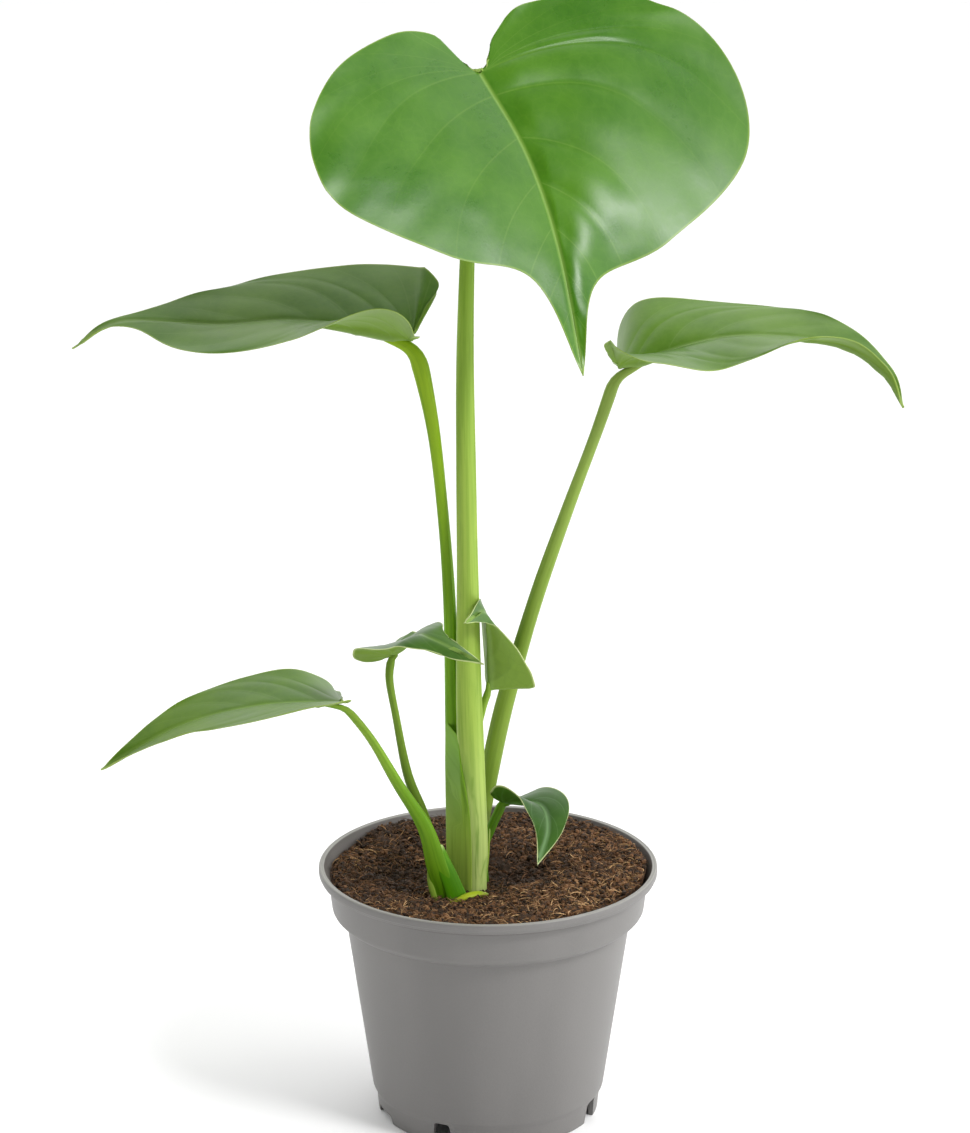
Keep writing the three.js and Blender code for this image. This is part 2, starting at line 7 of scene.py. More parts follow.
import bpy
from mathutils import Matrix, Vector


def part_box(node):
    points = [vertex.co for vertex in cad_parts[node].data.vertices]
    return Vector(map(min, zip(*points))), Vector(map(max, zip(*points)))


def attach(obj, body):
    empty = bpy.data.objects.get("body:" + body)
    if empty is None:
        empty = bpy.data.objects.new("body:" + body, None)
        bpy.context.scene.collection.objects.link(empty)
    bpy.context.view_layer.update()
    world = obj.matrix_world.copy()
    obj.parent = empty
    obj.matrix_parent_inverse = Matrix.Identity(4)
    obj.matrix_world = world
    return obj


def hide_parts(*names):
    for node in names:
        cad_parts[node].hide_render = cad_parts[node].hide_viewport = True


bl_info = {
    "name": "Potted swiss cheese plant",
    "version": (1, 0, 0),
    "blender": (4, 5, 0),
    "location": "3D View > Sidebar > Plant",
    "description": "Builds the leaves, stalks, soil and pot of a young swiss cheese plant",
    "category": "Object",
}

import math

import bpy
import numpy as np
from bpy.props import FloatProperty, FloatVectorProperty, IntProperty, PointerProperty
from mathutils import Vector, noise

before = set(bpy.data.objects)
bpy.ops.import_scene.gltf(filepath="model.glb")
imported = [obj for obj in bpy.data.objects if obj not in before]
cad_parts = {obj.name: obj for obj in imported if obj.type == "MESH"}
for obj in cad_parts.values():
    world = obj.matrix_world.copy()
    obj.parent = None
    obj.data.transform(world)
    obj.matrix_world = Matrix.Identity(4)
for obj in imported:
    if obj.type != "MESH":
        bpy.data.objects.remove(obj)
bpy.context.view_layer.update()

MM = 0.001
MERGE_DISTANCE = 2e-6
POT_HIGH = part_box("pot")[1]


# Shapes

def heart(lobe, middle, fore, neck):
    """Half outline, along the rib in leaf lengths, sideways in half widths. lobe sets how far it reaches back behind
    the stalk, and the others are its half widths further and further ahead.
    """
    return [(0, 0), (-0.13 * lobe, 0.12), (-0.235 * lobe, 0.38), (-0.16 * lobe, 0.78), (0.1, 1),
            (0.38, middle), (0.62, fore), (0.8, neck), (1, 0)]


# What leaves of one age share. veins are the places along the margin where side veins end, from 0 at the stalk to 1
# at the tip, and arch is the stretch of it over which they come to bow. quilt is the swell between veins in the left
# and the right half, roll how far the left margin turns under, and wave the ripple of the margin. step and columns
# set how fine the grid is.
PLAIN = dict(arch=(0.4, 0.7), roll=0)
YOUNG_VEINS = (0.35, 0.52, 0.65, 0.75, 0.84, 0.92)
LEAF_KINDS = {
    "old": dict(veins=(0.2, 0.32, 0.42, 0.51, 0.6, 0.68, 0.76, 0.82, 0.87, 0.91, 0.945, 0.97), arch=(0.2, 0.6),
                quilt=(1.1, 0.2), roll=5.5, wave=0.4, step=2.0, columns=34, rib_height=2.4),
    "side": dict(PLAIN, veins=(0.25, 0.4, 0.5, 0.58, 0.65, 0.72, 0.78, 0.84, 0.89, 0.93, 0.96), quilt=(0.3, 0.3),
                 wave=0.4, step=1.6, columns=22, rib_height=1.9),
    "low": dict(PLAIN, veins=(0.35, 0.5, 0.6, 0.68, 0.75, 0.81, 0.87, 0.92, 0.96), quilt=(0.25, 0.25), wave=0.3,
                step=1.4, columns=18, rib_height=1.4),
    "young": dict(PLAIN, veins=YOUNG_VEINS, quilt=(0.15, 0.15), wave=0.15, step=1.0, columns=16, rib_height=1.0),
    "tiny": dict(PLAIN, veins=YOUNG_VEINS, quilt=(0.12, 0.12), wave=0.1, step=0.9, columns=16, rib_height=0.9),
}

# rib runs from the stalk to the tip and face is the way the upper side looks. Pairs are for the left and the right
# half, as seen from above with the tip pointing ahead. fold is the angle at which a half leaves the rib, curl how far
# it bends by its margin, lobe_bend how far its lobe bends behind the stalk, and twist the turn from stalk to tip.
BLADES = {
    "top_leaf": dict(
        rib=[(-3, -1, 373.5), (12.5, -17, 349), (23, -35, 321), (31, -58, 283)],
        face=(0.16, -0.84, 0.53), half_width=(80, 73.5),
        outline=(
            [(0, 0), (-0.1, 0.16), (-0.15, 0.36), (-0.065, 0.78), (0.185, 1.03),
             (0.42, 0.95), (0.62, 0.485), (0.72, 0.13), (1, 0)],
            [(0, 0), (-0.145, 0.12), (-0.18, 0.37), (-0.1, 0.75), (0.1, 1.01),
             (0.39, 0.96), (0.61, 0.55), (0.7, 0.165), (1, 0)]),
        fold=((-3.5,), (22,)), curl=((-4.5,), (-11,)), lobe_bend=(0, 0), twist=7, kind="old"),
    "left_leaf": dict(
        rib=[(-26, -4, 283), (-62.5, -4, 289.5), (-91.5, -7.5, 289), (-125, -3.5, 289), (-141.5, -3, 279.5)],
        face=(-0.14, -0.24, 0.96), half_width=(38.5, 35),
        outline=(
            heart(0.06, 0.7, 0.47, 0.11),
            [(0, 0), (-0.011, 0.12), (-0.028, 0.4), (-0.046, 0.73), (0.1, 0.98),
             (0.36, 0.71), (0.62, 0.47), (0.8, 0.11), (1, 0)]),
        fold=((33, 46.5, 13.5, -8), (32, 20.5, 15.5, 6.5)), curl=((-10.5, -23.5), (-9.5, -26)),
        lobe_bend=(5, 12), twist=-7.5, kind="side"),
    "right_leaf": dict(
        rib=[(45, 6, 271), (81.5, 6.5, 281.5), (116.5, -2, 281.5), (133.5, -7, 272.5), (141, -12, 261)],
        face=(-0.05, -0.12, 0.99), half_width=(28.5, 30),
        outline=(heart(0.07, 0.74, 0.51, 0.22), heart(0.1, 0.74, 0.51, 0.22)),
        fold=((-4, 34.5, 17.5, 29), (54, 28, -1.5, 76.5)), curl=((-28, 11), (-27.5, -9)),
        lobe_bend=(13, 1), twist=-6.5, kind="side"),
    "low_left_leaf": dict(
        rib=[(-50.5, -20, 159), (-78.5, -24.5, 159), (-106, -24, 151.5), (-133.5, -27, 136.5)],
        face=(-0.04, -0.05, 1), half_width=(21, 23),
        outline=(heart(0.06, 0.86, 0.5, 0.235),) * 2,
        fold=((17, 14.5, 6.5, 8), (-11, 6, 12, 37.5)), curl=((11, -28.5), (2.5, -6.5)),
        lobe_bend=(12.5, 21.5), twist=-5, kind="low"),
    "mid_left_leaf": dict(
        rib=[(-33, -18, 175), (-24.5, -30.5, 186), (-18.5, -38, 187), (-1.5, -49.5, 182)],
        face=(0.07, -0.32, 0.95), half_width=(14.5, 16),
        outline=(heart(0.42, 0.74, 0.32, 0.23), heart(0.6, 0.74, 0.32, 0.23)),
        fold=((39, 24.5, 10, -32), (31.5, 32.5, 4, -20)), curl=((-41, -9), (-14, -36)),
        lobe_bend=(56, -16.5), twist=7, kind="young"),
    "mid_right_leaf": dict(
        rib=[(0.7, -4.5, 158.5), (1, -5.2, 171.2), (-0.5, -11.3, 188.2), (-7.8, -29.2, 189.8)],
        face=(0.83, 0.53, 0.19), half_width=(16.5, 16),
        outline=(heart(0.05, 0.86, 0.34, 0.17), heart(0.17, 0.86, 0.34, 0.17)),
        fold=((70, 27, -2.5, -31), (19, 12, 12, 4)), curl=((8, 30.5), (38, 9)),
        lobe_bend=(28.5, 45), twist=4, kind="young"),
    "small_leaf": dict(
        rib=[(5.6, 1, 114.7), (18, -7, 116.5), (21, -19, 112), (17, -34, 104)],
        face=(0.18, -0.18, 0.97), half_width=(11.5, 11),
        outline=(heart(0.35, 0.82, 0.47, 0.24), heart(0.13, 0.82, 0.47, 0.24)),
        fold=((-16.5, 5, 28.5, -13.5), (33, 42, 12, 3.5)), curl=((-20.5, -27.5), (27.5, -31)),
        lobe_bend=(32.5, 13.5), twist=2.5, kind="tiny"),
}

# across and through are the half sizes of a stalk's section along its path, seen from the front and from the side.
# fin is a thin ridge: its angle round the stalk from +X, its height along the path, and its half width in degrees.
# reach is how far the stalk is carried on under its blade.
STALKS = {
    "top_leaf": dict(
        path=[(-5, -11.5, 84.2), (-4.8, -11, 104.5), (-5.9, -10.3, 130), (-6.9, -8.5, 160), (-7.2, -6.5, 195),
              (-7.7, -3, 235), (-8, 2, 275), (-7, 6.5, 315), (-5.5, 6.5, 350), (-3.5, 0.2, 371.9)],
        across=(4.3, 4.5, 4.5, 4, 3.5, 3.3, 3, 2.6, 2.3, 2), through=(4.2, 4.3, 4.2, 3.8, 3.4, 3.2, 3, 2.6, 2.3, 1.8),
        fin=(-12, (0.3, 0.6, 0.5, 0.3, 0), 7), reach=22, look="pale"),
    "left_leaf": dict(
        path=[(-11, -5.5, 84.2), (-11.4, -4.5, 102), (-11.7, -3.5, 117), (-12.2, -2.5, 135), (-12.9, -0.5, 165),
              (-13.5, 0, 190), (-15.3, 0, 217), (-18.3, -1.5, 247), (-22, -3.5, 268.5), (-25.5, -4, 282)],
        across=(3, 3, 2.9, 2.6, 2.3, 2.2, 2, 2, 2.3, 3), through=(2.8, 2.8, 2.7, 2.5, 2.3, 2.2, 2, 2, 2, 1.8),
        fin=(-60, (0, 0.2, 0.2, 0), 8), reach=14, look="olive"),
    "right_leaf": dict(
        path=[(-3.8, 1.5, 84.5), (-3.1, 4.5, 100.5), (-0.8, 8.2, 115.5), (4.9, 10, 144), (12.2, 9.5, 171.5),
              (18.9, 9, 194), (28, 8, 221), (37.5, 7, 248), (44.4, 6, 269.6)],
        across=(2.8, 3.1, 3.3, 3.2, 2.7, 2.5, 2.2, 2, 2.2), through=(2.8, 3, 3.1, 3, 2.6, 2.4, 2.2, 2, 1.8),
        fin=(200, (0.2, 0.3, 0.2, 0), 8), reach=12, look="green"),
    "low_left_leaf": dict(
        path=[(-13.4, -19.6, 84.7), (-15.2, -20.2, 91), (-17.9, -20.5, 99), (-21.9, -20.5, 113), (-31.4, -20, 129),
              (-40.5, -20, 145.2), (-50.3, -20, 158.1)],
        across=(4, 3.6, 2.8, 2.1, 1.8, 1.5, 1.4), through=(1.5, 1.6, 1.8, 1.8, 1.6, 1.4, 1.2),
        fin=(200, (0.6, 0.4, 0.2, 0), 10), reach=9, look="bright"),
    "mid_left_leaf": dict(
        path=[(-16, -10.5, 84.7), (-18.2, -10, 97), (-22.5, -11.5, 114), (-28, -14, 130), (-32, -17, 153),
              (-34, -18, 166), (-33.4, -18, 173.3)],
        across=(1.9, 1.9, 1.8, 1.7, 1.4, 1.3, 1.5), through=(1.9, 1.9, 1.8, 1.7, 1.4, 1.3, 1.3),
        reach=4, look="dark"),
    "mid_right_leaf": dict(
        path=[(-4, -4.4, 84.2), (-3.9, -4, 114), (-3.9, -3.5, 139), (-2, -4, 150.5), (0.1, -4.4, 157.4)],
        across=(1.6, 1.5, 1.4, 1.3, 1.3), through=(1.6, 1.5, 1.4, 1.3, 1.1),
        reach=4, look="bright"),
    "small_leaf": dict(
        path=[(-0.7, -3, 84.4), (-1.4, -1.9, 97), (1.2, -0.6, 105.5), (5, 0.8, 113.8)],
        across=(1.1, 1.2, 1.6, 1.7), through=(1.1, 1.2, 1.5, 1.4),
        reach=3, look="deep"),
}

# The thin edges of the sheaths that clasp the foot of the plant, and the flap that lies on the soil.
CLASP_STRIP = dict(path=[(-19.9, -20.2, 107), (-20.3, -20.5, 96), (-19.6, -21, 90), (-17.9, -21.3, 84.9)],
                   across=(0.3, 0.9, 1.1, 0.9), through=(0.3, 0.45, 0.45, 0.4))
SMALL_STRIP = dict(path=[(0.6, -8.4, 108), (-0.1, -8.7, 98), (-1.4, -9, 86.3)],
                   across=(0.2, 0.5, 0.6), through=(0.2, 0.3, 0.3))
FLAP = dict(path=[(-15.5, -22.8, 84.8), (-11, -23, 86.3), (-7.7, -22, 87.4), (-3.5, -20, 87.7), (0.6, -18.6, 87)],
            across=(0.5, 1, 1.3, 1.2, 0.4), through=(0.6, 1.3, 1.9, 1.7, 0.6))
# The long left leaf's sheath: the angle at which it starts, its ends, and where its free edge stands, as height and
# angle round the top leaf's stalk from +X.
SHEATH_START = 160
SHEATH_FOOT, SHEATH_TOP = 84.7, 147
SHEATH_EDGE = [(84, 260), (97, 259), (116, 256), (123, 248), (129, 236), (134, 222), (139, 212), (147, 206)]
# The low left leaf's sheath: its ends, and the height and x of its free edge.
CLASP_FOOT, CLASP_TOP = 84.9, 106
CLASP_EDGE = [(85, -6.6), (87.3, -7.4), (96.2, -11.2), (104.5, -15.2), (106, -16)]

OUTLINE_STEPS = 8
FIRST_SIDE_VEIN = 0.58  # where on the margin the first one ends that doesn't start at the rib's foot
VEIN_SPACING = 1.68  # above 1, side veins start closer together near the foot
VEIN_ARCH = 0.33  # how far a side vein bows, for its length
ARCH_END = (0.74, 0.92)  # where along the margin the bow fades again
LOBE_START = 0.2  # how much of its reach behind the rib's foot a lobe has right beside the rib
LOBE_LENGTH = 0.235  # how far a lobe reaches behind the rib's foot, in leaf lengths
CROWDING = 1.5  # of a blade's columns towards its rib
RIB_GROOVE = (0.25, 0.9)  # depth and half width
VEIN_RIDGE = (0.22, 0.7)  # height and half width
MARGIN_THINNING = 0.55  # how much of its thickness a blade loses at the margin
TUBE_CAP = 1.2  # length of a tube's rounded ends

WALL_LEVEL = [(-180, 88.5), (-150, 88.6), (-120, 89), (-90, 89.6), (-60, 90.6), (-30, 91.2), (0, 91.4), (45, 91.2),
              (78, 90.8), (93, 89.4), (109, 89.8), (119, 89.8), (131, 90.8), (137, 90.8), (144, 89.2), (153, 87.9),
              (168, 88.4), (180, 88.5)]
WALL_ZONE = (40, 54)  # radii over which the level of the middle turns into that at the wall
WALL_INSIDE = 56.7  # radius of the wall at the height of the soil
SOIL_LEVEL = 89.4
SOIL_TILT = 1.5  # how much higher it is at the right wall than in the middle
SOIL_RADIUS = 56.0
SOIL_FLOOR = 10.4
LITTER_REACH = 55.2
# Middle x and y, how deep a hollow is or how much a spot darkens, and how far it reaches.
HOLLOWS = [(-13, -10, 3.2, 20), (12, 3, 4.8, 9.5), (-34, 2, 1.8, 6), (-22, 12, 2.2, 8), (28, 16, -0.9, 12)]
# The spots darken the soil, or pale it where below 0. The first two lie in hollows and are painted shade; the rest are
# the soil's own tone.
SHADE_AND_TONE_SPOTS = [(13, 1, 0.55, 9), (-33, 0, 0.3, 8), (-4, 10, 0.3, 11), (-50, 14, -0.5, 8), (30, -24, -0.3, 12)]

# The pot's foot is FOOT_INSET narrower than its lip, by radius. Each notch has an angle, its widths at the top and the
# foot, and a height.
LIP_RADIUS, LIP_INSIDE = 60, 58.8
FOOT_INSET = 20.6
NOTCHES = [(-114, 5.4, 8.6, 8.2), (-159, 11, 15, 3)]
NOTCH_ROUNDING = 0.9
DRAIN_HOLES = 8
DRAIN_RING, DRAIN_RADIUS, DRAIN_HEIGHT = 27, 3.5, 9.4
# Middle of the wall, below and within the band, in metres: how much wider it gets with height, and its radius at Z = 0.
WALL_LINES = ((0.117, 0.0458), (0.35, 0.02608))

# Lamp, place, size.
LAMPS = [("key", (1.6, -0.35, 0.55), 1.4), ("gloss", (1.06, -0.87, 1.4), 0.45), ("sheen", (1.1, 0.15, 1.62), 0.6)]
SKY_FRONT = (0, -0.85, 0.5)  # the way to the middle of the dimmer part of the surround
CAMERA_SHIFT = -0.0011


def rgb(red, green, blue):
    """Linear colour of a shade given as 0 to 255."""
    return tuple((c / 255 / 12.92 if c <= 10 else ((c / 255 + 0.055) / 1.055) ** 2.4) for c in (red, green, blue))


# Shades from 0 to 255: the two greens of the upper side, the underside, the veins and the margin. Then how rough the
# upper side is, and how much of the margin's shade shows.
LEAF_LOOKS = {
    "old": ((46, 97, 2), (72, 121, 9), (128, 154, 66), (136, 168, 76), (150, 172, 74), 0.3, 0.4),
    "side": ((64, 102, 18), (96, 130, 46), (106, 140, 36), (126, 152, 90), (156, 176, 84), 0.34, 0.5),
    "low": ((60, 98, 4), (90, 124, 16), (124, 150, 66), (120, 150, 70), (156, 176, 84), 0.38, 0.55),
    "young": ((48, 88, 20), (76, 112, 38), (128, 160, 62), (118, 150, 70), (186, 200, 134), 0.36, 0.85),
    "tiny": ((32, 72, 4), (56, 96, 16), (78, 124, 34), (120, 156, 104), (200, 208, 150), 0.36, 0.85),
}
# The foot, the middle and the top of a stalk, and its streaks.
STALK_LOOKS = {
    "pale": ((182, 200, 118), (146, 172, 72), (122, 156, 48), (96, 134, 40)),
    "green": ((124, 146, 56), (122, 148, 54), (132, 156, 72), (98, 126, 38)),
    "olive": ((166, 192, 80), (112, 158, 28), (132, 164, 26), (74, 114, 20)),
    "bright": ((88, 142, 10), (104, 146, 24), (132, 164, 56), (60, 108, 12)),
    "dark": ((88, 116, 30), (94, 120, 30), (112, 142, 44), (60, 90, 22)),
    "deep": ((96, 140, 30), (96, 144, 28), (106, 152, 34), (54, 100, 14)),
    "clasp": ((72, 128, 6), (84, 138, 8), (176, 194, 124), (48, 98, 8)),
    "flap": ((134, 160, 24), (168, 182, 44), (140, 166, 30), (92, 112, 16)),
}


# Numbers

def share(x, low, high):
    """How far x is from low to high, held between 0 and 1."""
    return np.clip((np.asarray(x, float) - low) / (high - low), 0, 1)


def smooth_share(x, low, high):
    t = share(x, low, high)
    return t * t * (3 - 2 * t)


def unit(vectors):
    return vectors / np.maximum(np.linalg.norm(vectors, axis=-1, keepdims=True), 1e-9)


def spline(points, x):
    """Smooth curve through evenly numbered points; x runs from 0 to len(points) - 1."""
    points = np.asarray(points, float)
    ends = np.vstack([2 * points[0] - points[1], points, 2 * points[-1] - points[-2]])
    x = np.clip(np.asarray(x, float), 0, len(points) - 1)
    i = np.minimum(x.astype(int), len(points) - 2)
    t = (x - i)[..., None]
    a, b, c, d = ends[i], ends[i + 1], ends[i + 2], ends[i + 3]
    return 0.5 * (2 * b + (c - a) * t + (2 * a - 5 * b + 4 * c - d) * t**2 + (3 * b - a - 3 * c + d) * t**3)


def along(values, x):
    """Value at x, from 0 to 1, of values spread evenly over that range."""
    x = np.clip(np.asarray(x, float), 0, 1)
    if len(values) == 1:
        return np.full_like(x, float(values[0]))
    if len(values) == 2:
        return values[0] + (values[1] - values[0]) * x
    return spline(np.asarray(values, float)[:, None], x * (len(values) - 1))[..., 0]


def lengths_along(line):
    """Distance of each point of a line from its start."""
    return np.r_[0, np.cumsum(np.linalg.norm(np.diff(line, axis=0), axis=1))]


def read_at(s, lengths, values):
    """Vectors read at distances along a line."""
    return np.stack([np.interp(s, lengths, values[:, k]) for k in range(3)], -1)


class Curve:
    """Smooth curve through points, read by length."""

    def __init__(self, points, samples=240):
        self.points = spline(points, np.linspace(0, len(points) - 1, samples))
        self.lengths = lengths_along(self.points)
        self.length = self.lengths[-1]

    def at(self, s):
        return read_at(np.clip(s, 0, self.length), self.lengths, self.points)

    def tangent(self, s, reach=2.0):
        s = np.clip(s, 0, self.length)
        return unit(self.at(s + reach) - self.at(s - reach))
def arc_end(length, start, rate):
    """Where an arc of that length ends that sets out at an angle and turns at a steady rate."""
    rate = np.where(np.abs(rate) < 1e-7, 1e-7, rate)
    end = start + rate * length
    return (np.sin(end) - np.sin(start)) / rate, (np.cos(start) - np.cos(end)) / rate


def bell(x, width):
    """1 in the middle, falling off to either side within about that width."""
    return np.exp(-((x / width) ** 2))


def dipped(level, x, y, dips):
    """The level at x, y after round dips, each a middle x and y, a depth and a spread."""
    for middle_x, middle_y, depth, spread in dips:
        level = level - depth * np.exp(-((x - middle_x) ** 2 + (y - middle_y) ** 2) / (2 * spread**2))
    return level


def lumps(places, scale, octaves=3):
    """Steady noise of about -1 to 1 at places in millimetres; scale is the size of its largest lumps."""
    return np.array([noise.fractal(Vector(p) / scale, 0.6, 2.1, octaves) for p in places])


# Meshes

def select_only(*objects):
    """Selects these and nothing else, with the first one active."""
    bpy.ops.object.select_all(action="DESELECT")
    for obj in objects:
        obj.select_set(True)
    bpy.context.view_layer.objects.active = objects[0]


def add_shape(operator, **settings):
    """Adds a primitive and returns it."""
    bpy.ops.object.select_all(action="DESELECT")
    operator(**settings)
    return bpy.context.active_object


def new_grid(name, columns, rows):
    """A flat grid, and the column and row of each of its points."""
    obj = add_shape(bpy.ops.mesh.primitive_grid_add, x_subdivisions=columns, y_subdivisions=rows, size=2)
    obj.name = obj.data.name = name
    flat = read_points(obj)
    column = np.rint((flat[:, 0] + 1) / 2 * columns).astype(int)
    row = np.rint((flat[:, 1] + 1) / 2 * rows).astype(int)
    return obj, column, row


def read_points(obj):
    points = np.empty(len(obj.data.vertices) * 3)
    obj.data.vertices.foreach_get("co", points)
    return points.reshape(-1, 3)


def set_points(obj, points):
    obj.data.vertices.foreach_set("co", np.asarray(points, float).ravel())
    obj.data.update()


def set_values(obj, name, values):
    """Keeps a number, or a vector, for each point of the mesh under that name."""
    values = np.asarray(values, float)
    kind, field = ("FLOAT", "value") if values.ndim == 1 else ("FLOAT_VECTOR", "vector")
    obj.data.attributes.new(name, kind, "POINT").data.foreach_set(field, values.ravel())


def edit_all(obj, *steps):
    """Runs edit-mode operators on the whole mesh."""
    select_only(obj)
    bpy.ops.object.mode_set(mode="EDIT")
    bpy.ops.mesh.select_all(action="SELECT")
    for operator, settings in steps:
        operator(**settings)
    bpy.ops.object.mode_set(mode="OBJECT")


def merge_doubles(obj, distance=MERGE_DISTANCE):
    edit_all(obj, (bpy.ops.mesh.remove_doubles, dict(threshold=distance)))


def face_out(obj):
    edit_all(obj, (bpy.ops.mesh.normals_make_consistent, dict(inside=False)))


def use_modifier(obj, kind, **settings):
    select_only(obj)
    modifier = obj.modifiers.new(kind.lower(), kind)
    for name, value in settings.items():
        setattr(modifier, name, value)
    bpy.ops.object.modifier_apply(modifier=modifier.name)


def finished(obj, angle, *materials):
    """Adds materials to a shape and shades it smooth, but for edges sharper than that angle."""
    for material in materials:
        obj.data.materials.append(material)
    select_only(obj)
    bpy.ops.object.shade_smooth_by_angle(angle=math.radians(angle))
    return obj


def join(target, *others):
    select_only(target, *others)
    bpy.ops.object.join()
    return target


def piece(obj, slot, *nodes):
    """Attaches a finished piece to the root body and hides the imported nodes it stands for. slot is not used."""
    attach(obj, "root")
    if nodes:
        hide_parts(*nodes)
    return obj


def copies(name, template, places, tones):
    """One mesh holding a copy of the template at each place, a 4x4 matrix in millimetres."""
    base = np.c_[read_points(template), np.ones(len(template.data.vertices))]
    corners = [list(polygon.vertices) for polygon in template.data.polygons]
    points = np.concatenate([(base @ place.T)[:, :3] for place in places]) * MM
    faces = [[i + n * len(base) for i in corner] for n in range(len(places)) for corner in corners]
    mesh = bpy.data.meshes.new(name)
    mesh.from_pydata(points.tolist(), [], faces)
    obj = bpy.data.objects.new(name, mesh)
    bpy.context.scene.collection.objects.link(obj)
    set_values(obj, "tone", np.repeat(tones, len(base)))
    bpy.data.objects.remove(template)
    return obj


# Materials

class Nodes:
    """Short words for building a node tree."""

    def __init__(self, tree):
        self.tree = tree

    def add(self, kind, inputs=None, **settings):
        made = self.tree.nodes.new(f"ShaderNode{kind}")
        for name, value in settings.items():
            setattr(made, name, value)
        for key, value in (inputs or {}).items():
            self.feed(made.inputs[key], value)
        return made

    def feed(self, socket, value):
        if isinstance(value, bpy.types.NodeSocket):
            self.tree.links.new(value, socket)
        else:
            if getattr(socket, "type", "") == "RGBA" and len(value) == 3:
                value = (*value, 1)
            socket.default_value = value

    def value_of(self, name, output="Fac"):
        return self.add("Attribute", attribute_name=name).outputs[output]

    def place(self):
        return self.add("TexCoord").outputs["Object"]

    def height(self, place):
        return self.add("SeparateXYZ", {0: place}).outputs["Z"]

    def stretch(self, vector, scale):
        return self.add("Mapping", {"Vector": vector, "Scale": scale}).outputs["Vector"]

    def noise(self, vector, scale, detail=3.0, roughness=0.55, distortion=0.0):
        return self.add("TexNoise", {"Vector": vector, "Scale": scale, "Detail": detail, "Roughness": roughness,
                                     "Distortion": distortion}).outputs["Fac"]

    def cells(self, vector, scale, feature="F1"):
        return self.add("TexVoronoi", {"Vector": vector, "Scale": scale}, feature=feature).outputs[0]

    def remap(self, value, low, high, to_low=0.0, to_high=1.0):
        return self.add("MapRange", {0: value, 1: low, 2: high, 3: to_low, 4: to_high},
                        interpolation_type="SMOOTHSTEP").outputs[0]

    def math(self, operation, a, b):
        return self.add("Math", {0: a, 1: b}, operation=operation).outputs[0]

    def plus(self, a, b):
        return self.math("ADD", a, b)

    def times(self, a, b):
        return self.math("MULTIPLY", a, b)

    def mix(self, factor, a, b):
        return self.add("Mix", {0: factor, 6: a, 7: b}, data_type="RGBA").outputs[2]

    def surface(self, shader, colour, roughness, height, depth):
        """Feeds a shader its colour, its roughness and a relief of that depth."""
        self.feed(shader.inputs["Base Color"], colour)
        self.feed(shader.inputs["Roughness"], roughness)
        bump = self.add("Bump", {"Height": height, "Distance": depth})
        self.feed(shader.inputs["Normal"], bump.outputs["Normal"])

    def group(self, name, draw, **inputs):
        """Places the node group of that name, which is drawn the first time, and gives its outputs."""
        made = self.add("Group", node_tree=bpy.data.node_groups.get(name) or new_group(name, draw, inputs))
        for key, value in inputs.items():
            self.feed(made.inputs[key.title()], value)
        return made.outputs


def new_group(name, draw, inputs):
    """A shader node group with those inputs. draw adds its nodes and says which masks and heights it puts out."""
    tree = bpy.data.node_groups.new(name, "ShaderNodeTree")
    for key, value in inputs.items():
        kind = "NodeSocketVector" if getattr(value, "type", "") == "VECTOR" else "NodeSocketFloat"
        tree.interface.new_socket(key.title(), in_out="INPUT", socket_type=kind)
    nodes = Nodes(tree)
    results = draw(nodes, tree.nodes.new("NodeGroupInput").outputs)
    for title in results:
        tree.interface.new_socket(title, in_out="OUTPUT", socket_type="NodeSocketFloat")
    end = tree.nodes.new("NodeGroupOutput")
    for title, result in results.items():
        nodes.feed(end.inputs[title], result)
    return tree


def new_material(name, specular):
    """A material of that specular level; returns it with its words and its shader."""
    material = bpy.data.materials.new(name)
    material.use_nodes = True
    shader = material.node_tree.nodes["Principled BSDF"]
    shader.inputs["Metallic"].default_value = 0.0
    shader.inputs["Specular IOR Level"].default_value = specular
    return material, Nodes(material.node_tree), shader


def leaf_pattern(n, given):
    """Veins, margin, mottle and fine skin of a blade, from its flat coordinates and its distances."""
    flat = given["Flat"]
    rib = n.remap(n.math("DIVIDE", given["Rib"], given["Size"]), 0.0001, 0.0013, 1, 0)
    side = n.remap(n.math("DIVIDE", given["Vein"], given["Size"]), 0.0001, 0.00045, 1, 0)
    faded = n.times(side, n.remap(given["Rib"], 0.0, 0.05, 0.28, 0.1))
    wander = n.stretch(n.add("TexNoise", {"Vector": flat, "Scale": 120.0}).outputs["Color"], (0.003, 0.003, 0.003))
    bent = n.add("VectorMath", {0: flat, 1: wander}, operation="ADD").outputs[0]
    mottle = n.plus(n.times(n.noise(flat, 28.0, 2), 0.8), n.times(n.noise(flat, 320.0, 4), 0.2))
    return {"Veins": n.math("MAXIMUM", rib, faded),
            "Net": n.remap(n.cells(bent, 210.0, "DISTANCE_TO_EDGE"), 0.015, 0.09, 1, 0),
            "Edge": n.remap(given["Margin"], 0.00025, 0.0009, 1, 0),
            "Mottle": n.remap(mottle, 0.25, 0.75),
            "Height": n.plus(n.times(n.cells(flat, 1500.0), 0.5), n.noise(flat, 700.0, 3))}


